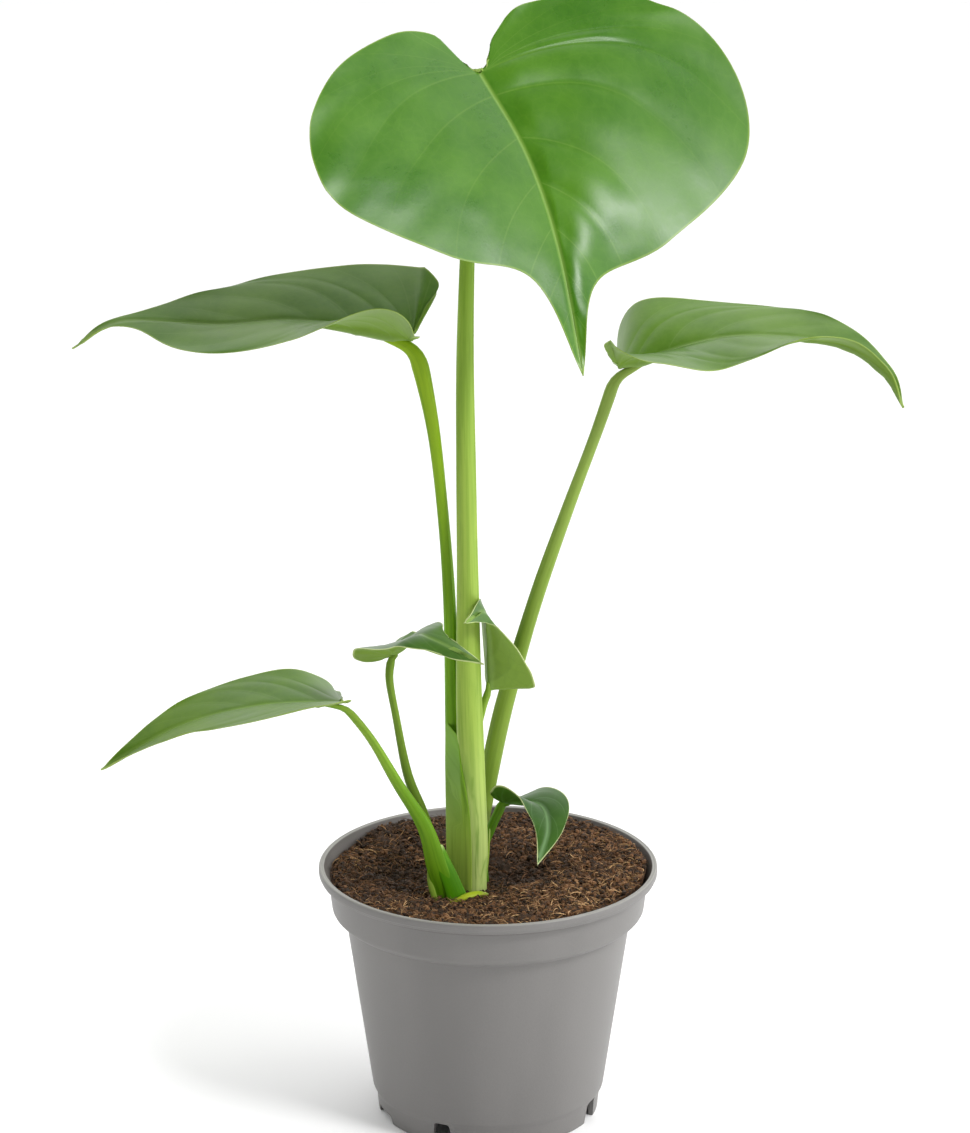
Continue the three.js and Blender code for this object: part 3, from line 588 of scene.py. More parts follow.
def leaf_materials(name, look, settings):
    """Upper and lower skin of one kind of leaf."""
    deep, fresh, back, vein, margin = (rgb(*shade) for shade in look[:5])
    roughness, edge = look[5:]
    dull = tuple(c * 0.8 for c in back)
    grain = settings.skin_grain
    # The two greens, the range of roughness, strength and shade of the net of fine veins, width of veins, relief.
    sides = {"upper": (deep, fresh, roughness - 0.04, roughness + 0.06, 0.025, vein, 1.0, grain),
             "under": (dull, back, 0.52, 0.62, 0.08, fresh, 1.25, grain * 1.4)}
    found = []
    for side, (low, high, satin, rough, net, net_shade, size, depth) in sides.items():
        material, n, shader = new_material(f"{name}_{side}_skin", 0.32)
        marks = n.group("Leaf pattern", leaf_pattern, flat=n.value_of("flat", "Vector"), rib=n.value_of("rib"),
                        vein=n.value_of("vein"), margin=n.value_of("margin"), size=size)
        colour = n.mix(marks["Mottle"], low, high)
        colour = n.mix(n.times(marks["Net"], net), colour, net_shade)
        colour = n.mix(n.times(marks["Veins"], 0.5), colour, vein)
        colour = n.mix(n.times(marks["Edge"], edge), colour, margin)
        n.surface(shader, colour, n.remap(marks["Mottle"], 0, 1, satin, rough), marks["Height"], depth)
        found.append(material)
    return found


def stalk_pattern(n, given):
    """Long fibres, blotches and fine relief of a stalk's skin."""
    grain = given["Grain"]
    fibres = n.noise(n.stretch(grain, (900, 900, 22)), 1.0, 4, 0.6, 0.3)
    blotch = n.noise(n.stretch(grain, (300, 300, 45)), 1.0, 3, 0.5, 0.6)
    return {"Fibres": n.remap(fibres, 0.4, 0.66), "Blotch": n.remap(blotch, 0.56, 0.7),
            "Height": n.plus(fibres, n.noise(n.stretch(grain, (2500, 2500, 700)), 1.0))}


def stalk_material(name, look, settings):
    """Skin of one kind of stalk: pale foot, streaked middle, greener top."""
    material, n, shader = new_material(f"{name}_stalk_skin", 0.14)
    marks = n.group("Stalk pattern", stalk_pattern, grain=n.value_of("grain", "Vector"))
    foot, middle, top, streak = (rgb(*shade) for shade in look)
    height = n.value_of("height")
    colour = n.mix(n.remap(height, 0.02, 0.25), foot, middle)
    colour = n.mix(n.remap(height, 0.4, 1.0), colour, top)
    colour = n.mix(n.times(marks["Fibres"], 0.38), colour, streak)
    low = n.times(marks["Blotch"], n.remap(height, 0.0, 0.35, 0.75, 0.1))
    n.surface(shader, n.mix(low, colour, streak), n.remap(marks["Fibres"], 0, 1, 0.4, 0.5), marks["Height"],
              settings.fibre_depth)
    return material


def soil_pattern(n, given):
    """Crumbs and relief of potting soil."""
    fine = n.noise(given["Place"], 900.0, 5, 0.65)
    return {"Crumbs": n.remap(fine, 0.42, 0.66), "Height": n.plus(fine, n.cells(given["Place"], 500.0))}


def soil_material(settings):
    """Damp soil, darker where its tone is low. The tone holds painted light, which makes it paler towards the right,
    and painted shade in two hollows.
    """
    material, n, shader = new_material("damp_potting_soil", 0.25)
    marks = n.group("Soil pattern", soil_pattern, place=n.place())
    colour = n.mix(n.value_of("tone"), settings.dark, n.mix(marks["Crumbs"], settings.dark, settings.brown))
    n.surface(shader, colour, n.remap(marks["Crumbs"], 0, 1, 0.75, 0.95), marks["Height"], 0.0006)
    return material


def fibre_material(name, settings):
    """Coir fibres and peat crumbs, each copy with a tone of its own, from wet peat to dry coir. The tones also carry
    the painted light and shade of the soil beneath.
    """
    material, n, shader = new_material(name, 0.3)
    marks = n.group("Soil pattern", soil_pattern, place=n.place())
    tone = n.value_of("tone")
    colour = n.mix(n.remap(tone, 0, 0.5), settings.dark, settings.brown)
    colour = n.mix(n.remap(tone, 0.5, 1), colour, settings.tan)
    colour = n.mix(n.times(marks["Crumbs"], 0.3), colour, settings.dark)
    n.surface(shader, colour, n.remap(marks["Crumbs"], 0, 1, 0.7, 0.9), marks["Height"], 0.0002)
    return material


def pot_pattern(n, given):
    """Mottle, fine grain, the lighter top of the lip, and the wall's inside above the soil, where shade is painted."""
    height = n.height(given["Place"])
    radius = n.add("VectorMath", {0: n.stretch(given["Place"], (1, 1, 0))}, operation="LENGTH").outputs["Value"]
    middle = n.math("MAXIMUM", *(n.plus(n.times(height, slope), foot) for slope, foot in WALL_LINES))
    inside = n.remap(n.math("SUBTRACT", middle, radius), -0.00015, 0.00015)
    fine = n.noise(given["Place"], 1600.0, 3)
    flow = n.noise(n.stretch(given["Place"], (40, 40, 9)), 1.0, 2)
    return {"Tone": n.plus(n.times(fine, 0.3), n.times(flow, 0.7)), "Lip": n.remap(height, 0.0914, 0.0918),
            "Inside": n.times(inside, n.remap(height, 0.0765, 0.078)), "Height": fine}


def pot_material(settings):
    """Grey plastic, with painted shade darkening the inside, and paler on the lip."""
    material, n, shader = new_material("satin_grey_plastic", 0.5)
    marks = n.group("Moulded grain", pot_pattern, place=n.place())
    tone = n.remap(marks["Tone"], 0.35, 0.65)
    colour = n.mix(tone, *(tuple(c * share for c in settings.colour) for share in (0.94, 1.05)))
    # Painted shade: the wall's inside above the soil is darkened.
    colour = n.mix(marks["Inside"], colour, settings.painted_shade_colour)
    colour = n.mix(marks["Lip"], colour, settings.lip_colour)
    n.surface(shader, colour, n.remap(tone, 0, 1, 0.44, 0.5), marks["Height"], settings.grain)
    return material


# Blades

def vein_rows(blade):
    """Places along the margin, with one on each side vein and the rest about a step apart."""
    curve = Curve(blade["rib"])
    samples = np.linspace(0, 1, 400)
    outline = spline(blade["outline"][0], samples * OUTLINE_STEPS)
    edge = np.cumsum(np.r_[0, np.hypot(np.diff(outline[:, 0]) * curve.length,
                                       np.diff(outline[:, 1]) * blade["half_width"][0])])
    stops = (0.0, *blade["veins"], 1.0)
    rows = [0.0]
    for low, high in zip(stops, stops[1:]):
        margin = np.interp([low, high], samples, edge)
        count = 2 * max(2, round((margin[1] - margin[0]) / blade["step"] / 2))
        rows += list(np.linspace(low, high, count + 1)[1:])
    return np.array(rows)


def vein_start(u):
    """Where the side vein that ends at u on the margin leaves the rib, in leaf lengths."""
    return share(u, FIRST_SIDE_VEIN, 1) ** VEIN_SPACING


def flat_place(blade, length, half, u, v):
    """Place in the flat blade, along the rib and sideways from it, in millimetres."""
    outline = spline(blade["outline"][half], u * OUTLINE_STEPS)
    edge = outline * (length, blade["half_width"][half])
    start = np.stack([vein_start(u) * length, np.zeros_like(u)], -1)
    chord = edge - start
    arch = VEIN_ARCH * share(u, *blade["arch"]) * (1 - share(u, *ARCH_END))
    bend = 0.5 * (edge + start) + arch[:, None] * np.stack([-chord[:, 1], chord[:, 0]], -1)
    v = v[:, None]
    flat = (1 - v) ** 2 * start + 2 * v * (1 - v) * bend + v * v * edge
    s, t = flat[:, 0], np.maximum(flat[:, 1], 0)
    level = LOBE_START + (1 - LOBE_START) * smooth_share(t / blade["half_width"][half], 0.01, 0.12)
    return np.where(s < 0, s * level, s), t


def blade_frame(blade, curve, s):
    """Rib point, tangent, across and normal at distances along the rib."""
    tangent = curve.tangent(s)
    face = unit(np.asarray(blade["face"], float))
    normal = unit(face - np.sum(tangent * face, -1, keepdims=True) * tangent)
    across = np.cross(tangent, normal)
    turn = np.radians(blade["twist"]) * np.clip(s / curve.length, -0.3, 1)[:, None]
    turned = normal * np.cos(turn) + across * np.sin(turn)
    return curve.at(s), tangent, across * np.cos(turn) - normal * np.sin(turn), turned


def blade_place(blade, curve, half, s, t):
    """Point in space of a place in the flat blade."""
    x = s / curve.length
    point, tangent, across, normal = blade_frame(blade, curve, s)
    fold = np.radians(along(blade["fold"][half], np.sqrt(np.clip(x, 0, 1))))
    rate = np.radians(along(blade["curl"][half], x)) / blade["half_width"][half]
    outwards, upwards = arc_end(t, fold, rate)
    lobe_rate = math.radians(blade["lobe_bend"][half]) / (LOBE_LENGTH * curve.length)
    backwards, lifted = arc_end(np.maximum(-s, 0), 0.0, np.full_like(s, lobe_rate))
    sign = -1 if half == 0 else 1
    return (point - tangent * backwards[:, None] + sign * across * outwards[:, None]
            + normal * (upwards + lifted)[:, None])


def vein_gap(blade, u):
    """Distance in u to the nearest side vein, and how far u is between two of them, from 0 to 1."""
    stops = np.array((0.0, *blade["veins"], 1.0))
    i = np.clip(np.searchsorted(stops, u, side="right") - 1, 0, len(stops) - 2)
    low, high = stops[i], stops[i + 1]
    return np.minimum(u - low, high - u), (u - low) / (high - low)


def blade_relief(blade, quilting, rows, pace, v, t, flat):
    """How far the tables of places stand out of the plain blade, in millimetres."""
    on_left = np.arange(v.shape[1]) < blade["columns"]
    # It swells between two side veins, away from the rib, the margin and both ends, and not where they crowd.
    between = vein_gap(blade, rows)[1]
    swell = (1 - (2 * between - 1) ** 2)[:, None] * smooth_share(v, 0.01, 0.12) * (1 - smooth_share(v, 0.35, 0.9))
    swell *= (smooth_share(rows, 0.45, 0.62) * (1 - 0.8 * smooth_share(rows, 0.78, 0.9)))[:, None]
    swell *= smooth_share(pace * np.gradient(rows)[:, None] * 8, 0.5, 6)
    relief = np.where(on_left, *blade["quilt"]) * quilting * swell - RIB_GROOVE[0] * bell(t, RIB_GROOVE[1])
    # The middle of the left margin turns under.
    rolled = smooth_share(rows, 0.42, 0.6) * (1 - smooth_share(rows, 0.8, 0.95))
    relief -= blade["roll"] * np.outer(rolled, on_left) * share(v ** (1 / CROWDING), 0.45, 1) ** 2
    # The margin ripples, and the whole blade is a little uneven.
    ripple = np.sin(rows * 34 + 1.3)[:, None] * 0.6 + np.sin(rows * 61)[:, None] * 0.4
    relief += blade["wave"] * ripple * v**4
    coarse = lumps(np.c_[flat.reshape(-1, 2), np.zeros(flat.size // 2)], 22.0, 2).reshape(v.shape)
    relief += 0.6 * blade["wave"] * coarse * smooth_share(v, 0, 0.3)
    return relief


def build_blade(name, blade, settings, materials):
    """One blade: a grid laid along its veins, quilted between them, with a thick rib and a thin margin."""
    curve = Curve(blade["rib"])
    rows = vein_rows(blade)
    columns = blade["columns"]
    obj, column, row = new_grid(name, 2 * columns, len(rows) - 1)
    u = rows[row]
    v = (np.abs(column - columns) / columns) ** CROWDING
    right = column >= columns
    s, t, points = np.zeros(len(u)), np.zeros(len(u)), np.zeros((len(u), 3))
    for half, mine in ((0, ~right), (1, right)):
        s[mine], t[mine] = flat_place(blade, curve.length, half, u[mine], v[mine])
        points[mine] = blade_place(blade, curve, half, s[mine], t[mine])
    signed = np.where(right, t, -t)

    # The same as tables with a line for each row of the grid; back returns a table to the order of the points.
    shape = (len(rows), 2 * columns + 1)
    order = np.argsort(row * shape[1] + column)
    back = np.argsort(order)
    grid = points[order].reshape(*shape, 3)
    flat = np.stack([s, signed], -1)[order].reshape(*shape, 2)
    outwards, aside, ahead = (values[order].reshape(shape) for values in (v, t, s))
    pace = np.linalg.norm(np.gradient(flat, axis=0), axis=-1) / np.gradient(rows)[:, None]
    gap = pace * vein_gap(blade, rows)[0][:, None]
    margin = np.minimum(*(np.linalg.norm(flat - flat[:, [end]], axis=-1) for end in (0, -1)))
    relief = blade_relief(blade, settings.quilting, rows, pace, outwards, aside, flat)
    normals = unit(np.cross(np.gradient(grid, axis=1), np.gradient(grid, axis=0)))
    grid = grid + np.nan_to_num(normals) * relief[..., None]

    ridge = blade["rib_height"] * (1 - np.clip(ahead / curve.length, 0, 1)) ** 0.9 + 0.1
    ridge = ridge * smooth_share(ahead, -1, 9)
    thick = settings.thickness / MM * (1 - MARGIN_THINNING * smooth_share(outwards, 0.9, 1))
    thick = thick + ridge * bell(aside, 0.5 + 0.55 * ridge) * (1 - 0.7 * outwards)
    thick = thick + VEIN_RIDGE[0] * bell(gap, VEIN_RIDGE[1]) * (1 - outwards)

    set_points(obj, grid.reshape(-1, 3)[back] * MM)
    set_values(obj, "rib", t * MM)
    set_values(obj, "vein", gap.ravel()[back] * MM)
    set_values(obj, "margin", margin.ravel()[back] * MM)
    set_values(obj, "flat", np.c_[s, signed, np.zeros(len(s))] * MM)
    most = thick.max()
    weights = obj.vertex_groups.new(name="thickness")
    for i, weight in enumerate((thick / most).ravel()[back]):
        weights.add([i], float(weight), "REPLACE")
    for material in materials:
        obj.data.materials.append(material)
    merge_doubles(obj, 1e-6)
    use_modifier(obj, "SOLIDIFY", thickness=most * MM, offset=-1.0, vertex_group="thickness", material_offset=1,
                 material_offset_rim=0)
    obj.vertex_groups.clear()
    return finished(obj, 60)


# Stalks

def stalk_line(stalk, blade):
    """Middle line of a stalk, carried on under its blade's rib, its length, and how much of it is the stalk's own."""
    own = Curve(stalk["path"])
    rib = Curve(blade["rib"])
    reach = np.array([stalk["reach"] * 0.35, stalk["reach"]])
    rib_point, _, _, normal = blade_frame(blade, rib, reach)
    near, far = rib_point - normal * np.array([[min(2.2, 0.15 * stalk["reach"] + 0.4)], [0.7]])
    cut = own.length - stalk["reach"] * (0.6 if stalk["reach"] > 5 else 0.15)
    end, heading = own.at(cut), own.tangent(cut)
    pull = np.linalg.norm(near - end)
    t = np.linspace(0, 1, 14)[1:, None]
    turn = unit(far - near)
    bend = ((1 - t) ** 3 * end + 3 * (1 - t) ** 2 * t * (end + heading * pull * 0.5)
            + 3 * (1 - t) * t * t * (near - turn * pull * 0.3) + t**3 * near)
    straight = near + (far - near) * np.linspace(0, 1, 8)[1:, None]
    line = np.vstack([own.at(np.linspace(0, cut, 150)), bend, straight])
    lengths = lengths_along(line)
    return line, lengths[-1], cut


def carried_frames(line):
    """Ways across and through along a line, turned as little as the line allows."""
    tangents = unit(np.gradient(line, axis=0))
    across = np.empty_like(line)
    current = unit(np.cross((0.0, 1.0, 0.0), tangents[0]))
    for i, tangent in enumerate(tangents):
        current = unit(current - tangent * (current @ tangent))
        across[i] = current
    return across, np.cross(tangents, across)


def build_tube(name, line, across_size, through_size, rows, columns, fin=None, own_length=None):
    """Closed tube along a line, with round ends. Sizes are read from 0 to 1 along the line's own length."""
    lengths = lengths_along(line)
    own_length = own_length or lengths[-1]
    across, through = carried_frames(line)
    obj, column, row = new_grid(name, columns, rows)
    s = row / rows * lengths[-1]
    turn = 2 * math.pi * column / columns + math.pi / 2
    middle, across, through = (read_at(s, lengths, values) for values in (line, across, through))
    x = s / own_length
    a, b = along(across_size, x), along(through_size, x)
    taper = 1 - 0.75 * share(s, own_length, max(lengths[-1], own_length + 0.01))
    wide = taper * np.sqrt(np.clip(1 - (1 - np.clip(np.minimum(s, lengths[-1] - s) / TUBE_CAP, 0, 1)) ** 2, 0, 1))
    if fin:
        angle, heights, spread = fin
        off = (np.degrees(turn) - angle + 180) % 360 - 180
        rise = along(heights, x) * bell(off, spread)
        a, b = a + rise, b + rise
    points = middle + across * (a * wide * np.cos(turn))[:, None] + through * (b * wide * np.sin(turn))[:, None]
    set_points(obj, points * MM)
    set_values(obj, "grain", np.c_[a * np.cos(turn), b * np.sin(turn), s] * MM)
    set_values(obj, "height", np.clip(x, 0, 1))
    merge_doubles(obj)
    face_out(obj)
    return finished(obj, 60)


def build_strip(name, strip, material):
    """A narrow closed strip along a path."""
    line = Curve(strip["path"], 60).points
    obj = build_tube(name, line, strip["across"], strip["through"], 40, 20)
    obj.data.materials.append(material)
    return obj


def build_sheet(name, points, thickness, height, material):
    """A thin sheet through a table of points in rows, with a width-wise and a length-wise grain."""
    rows, columns = points.shape[:2]
    obj, column, row = new_grid(name, columns - 1, rows - 1)
    set_points(obj, points[row, column] * MM)
    width = lengths_along(points[rows // 3])
    set_values(obj, "grain", np.c_[width[column], np.zeros(len(row)), points[row, column, 2]] * MM)
    set_values(obj, "height", height[row])
    use_modifier(obj, "SOLIDIFY", thickness=thickness * MM, offset=0)
    use_modifier(obj, "SUBSURF", levels=1)
    face_out(obj)
    return finished(obj, 70, material)


def centre_at(stalk, heights):
    """Centre and half width of a stalk at heights."""
    curve = Curve(stalk["path"])
    x, y = (np.interp(heights, curve.points[:, 2], curve.points[:, k]) for k in (0, 1))
    return np.stack([x, y], -1), np.interp(heights, [p[2] for p in stalk["path"]], stalk["across"])


def left_sheath_points(rows=34, columns=26):
    """Sheath of the long left leaf: drawn tight round its own stalk and the left of the top leaf's."""
    heights = np.linspace(SHEATH_FOOT, SHEATH_TOP, rows)
    own, own_radius = centre_at(STALKS["left_leaf"], heights)
    main, main_radius = centre_at(STALKS["top_leaf"], heights)
    edge = np.interp(heights, *zip(*SHEATH_EDGE))
    lift = 0.32 * (1 - smooth_share(heights, 128, SHEATH_TOP)) - 0.1
    points = np.empty((rows, columns, 3))
    for i in range(rows):
        turn = np.radians(np.linspace(SHEATH_START, edge[i], columns))
        way = np.stack([np.cos(turn), np.sin(turn)], -1)
        near, far = own[i] @ way.T + own_radius[i], main[i] @ way.T + main_radius[i]
        at_own = own[i] + way * (own_radius[i] + lift[i])
        at_main = main[i] + way * (main_radius[i] + lift[i])
        points[i, :, :2] = np.where((near > far)[:, None], at_own, at_main)
        points[i, :, 2] = heights[i]
    return points


def clasp_points(rows=24, columns=9):
    """Sheath of the low left leaf: from its stalk across the foot of the others, up to a pale tongue."""
    heights = np.linspace(CLASP_FOOT, CLASP_TOP, rows)
    own, own_radius = centre_at(STALKS["low_left_leaf"], heights)
    free = np.interp(heights, *zip(*CLASP_EDGE))
    fixed = np.minimum(own[:, 0] - own_radius * 0.1, free - 0.5)
    across = np.linspace(0, 1, columns)
    points = np.empty((rows, columns, 3))
    points[..., 0] = fixed[:, None] + (free - fixed)[:, None] * across
    points[..., 1] = -21.9 + 2.6 * across**2 + 0.5 * smooth_share(heights, 99, CLASP_TOP)[:, None]
    points[..., 2] = heights[:, None]
    return points


# Soil and pot

def soil_height(x, y):
    """Height of the soil, without its crumbs."""
    level = dipped(SOIL_LEVEL + SOIL_TILT * x / WALL_INSIDE, x, y, HOLLOWS)
    wall = np.interp(np.degrees(np.arctan2(y, x)), *zip(*WALL_LEVEL))
    return level + (wall - level) * smooth_share(np.hypot(x, y), *WALL_ZONE)


def soil_tone_and_painted_light(x, y):
    """How dry and pale the top of the soil is, from 0 to 1. Its patches are its own and it is paler towards the front.
    Painted light makes it paler towards the right (+X), and painted shade darkens two hollows.
    """
    # The rise towards +X is painted light; the lumps are the soil's own patches.
    dry = 0.54 + 0.2 * x / 50 - 0.16 * y / 50 + 0.22 * lumps(np.c_[x, y, 0 * x], 7.0, 3)
    return np.clip(dipped(dry, x, y, SHADE_AND_TONE_SPOTS), 0.03, 1)


def build_soil(settings, pot):
    """The filling of the pot: plain below, crumbly on top."""
    below = [(0, SOIL_FLOOR), (39.2, SOIL_FLOOR), (49.0, 74.4), (52.3, 76.2), (53.6, 77.4)]
    top = np.linspace(SOIL_RADIUS, 0, settings.rings)
    columns = settings.rings * 3
    obj, column, row = new_grid("potting_soil_fill", columns, len(below) + len(top) - 1)
    turn = 2 * math.pi * column / columns
    radius = np.r_[[r for r, _ in below], top][row] * (LIP_RADIUS - pot.wall / MM) / LIP_INSIDE
    x, y = radius * np.cos(turn), radius * np.sin(turn)
    lies_on_top = row >= len(below)
    z = np.array([z for _, z in below] + [0.0] * len(top))[row]
    places = np.c_[x, y, np.zeros(len(x))][lies_on_top]
    rough = lumps(places, 11.0, 3) * 0.9 + np.abs(lumps(places + 50, 4.5, 3)) * 1.2 - 0.5
    rough *= settings.grain_height / MM * (1 - share(radius[lies_on_top], 54.6, SOIL_RADIUS) * 0.7)
    z[lies_on_top] = soil_height(x, y)[lies_on_top] + rough
    set_points(obj, np.c_[x, y, z] * MM)
    # The top's tone carries painted light and shade as well as its own patches.
    set_values(obj, "tone", np.where(lies_on_top, soil_tone_and_painted_light(x, y), 0.3))
    merge_doubles(obj)
    face_out(obj)
    return finished(obj, 50, soil_material(settings))


def scatter(count, seed):
    """Random places on the soil, and the source they were drawn from."""
    random = np.random.default_rng(seed)
    radius = LITTER_REACH * np.sqrt(random.random(count))
    turn = 2 * math.pi * random.random(count)
    x, y = radius * np.cos(turn), radius * np.sin(turn)
    return random, x, y, soil_height(x, y)


def turned_matrices(x, y, z, heading, tilt, roll, scales):
    """4x4 matrices that scale, roll, tilt and turn a copy, and set it down."""
    def about(axis, angle):
        c, s = np.cos(angle), np.sin(angle)
        matrix = np.tile(np.eye(3), (len(angle), 1, 1))
        i, j = [(1, 2), (2, 0), (0, 1)][axis]
        matrix[:, i, i], matrix[:, i, j], matrix[:, j, i], matrix[:, j, j] = c, -s, s, c
        return matrix

    turn = about(2, heading) @ about(1, tilt) @ about(0, roll)
    matrices = np.tile(np.eye(4), (len(x), 1, 1))
    matrices[:, :3, :3] = turn * scales[:, None, :]
    matrices[:, 0, 3], matrices[:, 1, 3], matrices[:, 2, 3] = x, y, z
    return matrices


def build_fibres(settings):
    """Coir fibres that lie on the soil: one bent fibre, copied."""
    template = add_shape(bpy.ops.mesh.primitive_grid_add, x_subdivisions=5, y_subdivisions=3, size=2)
    points = read_points(template)
    x, turn = points[:, 0], (points[:, 1] + 1) * math.pi
    thin = 0.065 * np.sqrt(np.clip(1 - x**2, 0, 1))
    set_points(template, np.c_[x, 0.28 * (1 - x**2) + thin * np.cos(turn), thin * np.sin(turn)])
    merge_doubles(template, 1e-4)
    face_out(template)
    count = settings.fibres
    random, x, y, z = scatter(count, settings.seed)
    heading, tilt = random.random(count) * 2 * math.pi, random.normal(0, 0.28, count)
    length = random.uniform(0.7, 2.6, count) * settings.fibre_length / MM
    girth = random.uniform(0.7, 1.6, count)
    scales = np.c_[length, length * random.uniform(0.4, 1.3, count), girth]
    places = turned_matrices(x, y, z + random.uniform(-0.3, 0.9, count), heading, tilt,
                             random.random(count) * 2 * math.pi, scales)
    # A fibre takes on the painted light and shade of the soil where it lies.
    tone = (0.2 + 0.9 * random.random(count) ** 1.8) * (0.3 + 1.1 * soil_tone_and_painted_light(x, y))
    obj = copies("soil_fibres", template, places, np.clip(tone, 0, 1))
    return finished(obj, 80, fibre_material("coir_fibre", settings))


def build_crumbs(settings):
    """Peat crumbs on the soil: one lump, copied."""
    template = add_shape(bpy.ops.mesh.primitive_ico_sphere_add, subdivisions=1, radius=1)
    points = read_points(template)
    set_points(template, points * (1 + 0.3 * lumps(points * 3, 1.7)[:, None]))
    count = settings.crumbs
    random, x, y, z = scatter(count, settings.seed + 1)
    size = random.uniform(0.25, 1.0, count) ** 1.5 * settings.crumb_size / MM
    scales = size[:, None] * random.uniform(0.6, 1.3, (count, 3))
    angles = random.random((3, count)) * 2 * math.pi
    places = turned_matrices(x, y, z + random.uniform(-0.1, 0.5, count), *angles, scales)
    # A crumb takes on the painted light and shade of the soil where it lies.
    obj = copies("soil_crumbs", template, places, 0.6 * random.random(count) ** 1.7 * (0.2 + soil_tone_and_painted_light(x, y)))
    obj.data.materials.append(fibre_material("peat_crumb", settings))
    return obj


def rounded(corners, steps=4):
    """Profile with its corners rounded. A corner is radius, height and how far the rounding reaches."""
    points = []
    for i, (r, z, reach) in enumerate(corners):
        here = np.array((r, z), float)
        if reach == 0:
            points.append(here)
            continue
        ways = (np.array(corners[k][:2], float) - here for k in (i - 1, i + 1))
        start, end = (here + unit(way) * min(reach, np.linalg.norm(way) * 0.45) for way in ways)
        for t in np.linspace(0, 1, steps):
            points.append((1 - t) ** 2 * start + 2 * t * (1 - t) * here + t * t * end)
    return np.array(points)


def pot_profile(pot):
    """From the middle of the floor's underside round the foot, up the outside, over the lip and down the inside."""
    top, lip, wall = pot.height / MM, pot.lip_radius / MM, pot.wall / MM
    band_top, band_low, body_top, body_low, foot = lip - 3.3, lip - 4.7, lip - 9.3, lip - 18.6, lip - FOOT_INSET
    return rounded([
        (0, 8.8, 0), (foot - wall - 0.2, 8.8, 0.5), (foot - wall - 0.4, 0, 0.3), (foot, 0, 0.4),
        (foot + 0.7, 7, 1.2), (body_low, 9.2, 1.0), (body_top, 73.6, 0.7), (body_top + 2.2, 73.9, 0.9),
        (band_low, 76, 1.2), (band_top, top - 3.9, 0.3), (lip - 0.55, top - 3.7, 0.35), (lip - 0.35, top - 2.8, 0.15),
        (lip - 0.05, top - 2.6, 0.2), (lip, top - 0.6, 0.7), (lip - 0.6, top, 0.5), (lip - 1.1, top - 0.3, 0.2),
        (lip - 1.8, top - 0.15, 0.3), (lip - 2.3, top - 1.2, 0.5), (band_top - wall - 0.3, top - 5, 2),
        (band_low - wall, 77, 1), (band_low - wall - 1.5, 75.6, 0.8),
        (body_top - wall, 74.4, 0.8), (body_low - wall, 10, 1.2), (0, 10, 0)])


def build_pot(pot):
    """The pot: its profile spun about its axis, then notched and drilled."""
    profile = pot_profile(pot)
    obj = add_shape(bpy.ops.mesh.primitive_circle_add, vertices=len(profile), radius=1, fill_type="NOTHING")
    obj.name = obj.data.name = "nursery_pot"
    set_points(obj, np.c_[profile[:, 0], np.zeros(len(profile)), profile[:, 1]] * MM)
    # The profile is open: both its ends are on the axis, with no edge between them.
    ends = {0, len(profile) - 1}
    for vertex in obj.data.vertices:
        vertex.select = vertex.index in ends
    for edge in obj.data.edges:
        edge.select = set(edge.vertices) == ends
    bpy.ops.object.mode_set(mode="EDIT")
    bpy.ops.mesh.select_mode(type="EDGE")
    bpy.ops.mesh.delete(type="EDGE")
    bpy.ops.object.mode_set(mode="OBJECT")
    edit_all(obj, (bpy.ops.mesh.spin, dict(steps=pot.sides, angle=2 * math.pi, center=(0, 0, 0), axis=(0, 0, 1))))
    merge_doubles(obj)
    face_out(obj)
    cut_notches(obj, pot)
    return finished(obj, 35, pot_material(pot))


def cut_notches(obj, pot):
    """Tall and low notches round the foot, and drain holes in the floor."""
    cutters = []
    foot = pot.lip_radius - FOOT_INSET * MM
    for quarter in range(4):
        for angle, top, bottom, height in NOTCHES:
            cutter = add_shape(bpy.ops.mesh.primitive_cube_add, size=1, location=(0, 0, 0))
            points = read_points(cutter)
            width = np.where(points[:, 2] > 0, top, bottom) * MM
            tall = np.where(points[:, 2] > 0, height * MM, -2 * MM)
            deep = np.where(points[:, 0] > 0, foot + 3 * MM, foot - 5 * MM)
            set_points(cutter, np.c_[deep, points[:, 1] * width, tall])
            use_modifier(cutter, "BEVEL", width=NOTCH_ROUNDING * MM, segments=3, limit_method="ANGLE")
            cutter.rotation_euler.z = math.radians(angle + 90 * quarter)
            bpy.ops.object.transform_apply(location=False, rotation=True, scale=False)
            cutters.append(cutter)
    for number in range(DRAIN_HOLES):
        turn = 2 * math.pi / DRAIN_HOLES * number
        place = (DRAIN_RING * MM * math.cos(turn), DRAIN_RING * MM * math.sin(turn), DRAIN_HEIGHT * MM)
        cutters.append(add_shape(bpy.ops.mesh.primitive_cylinder_add, vertices=28, radius=DRAIN_RADIUS * MM,
                                 depth=6 * MM, location=place))
    cutter = join(*cutters)
    select_only(cutter)
    bpy.ops.object.transform_apply(location=True, rotation=True, scale=True)
    use_modifier(obj, "BOOLEAN", operation="DIFFERENCE", object=cutter, solver="EXACT")
    bpy.data.objects.remove(cutter)


# Settings

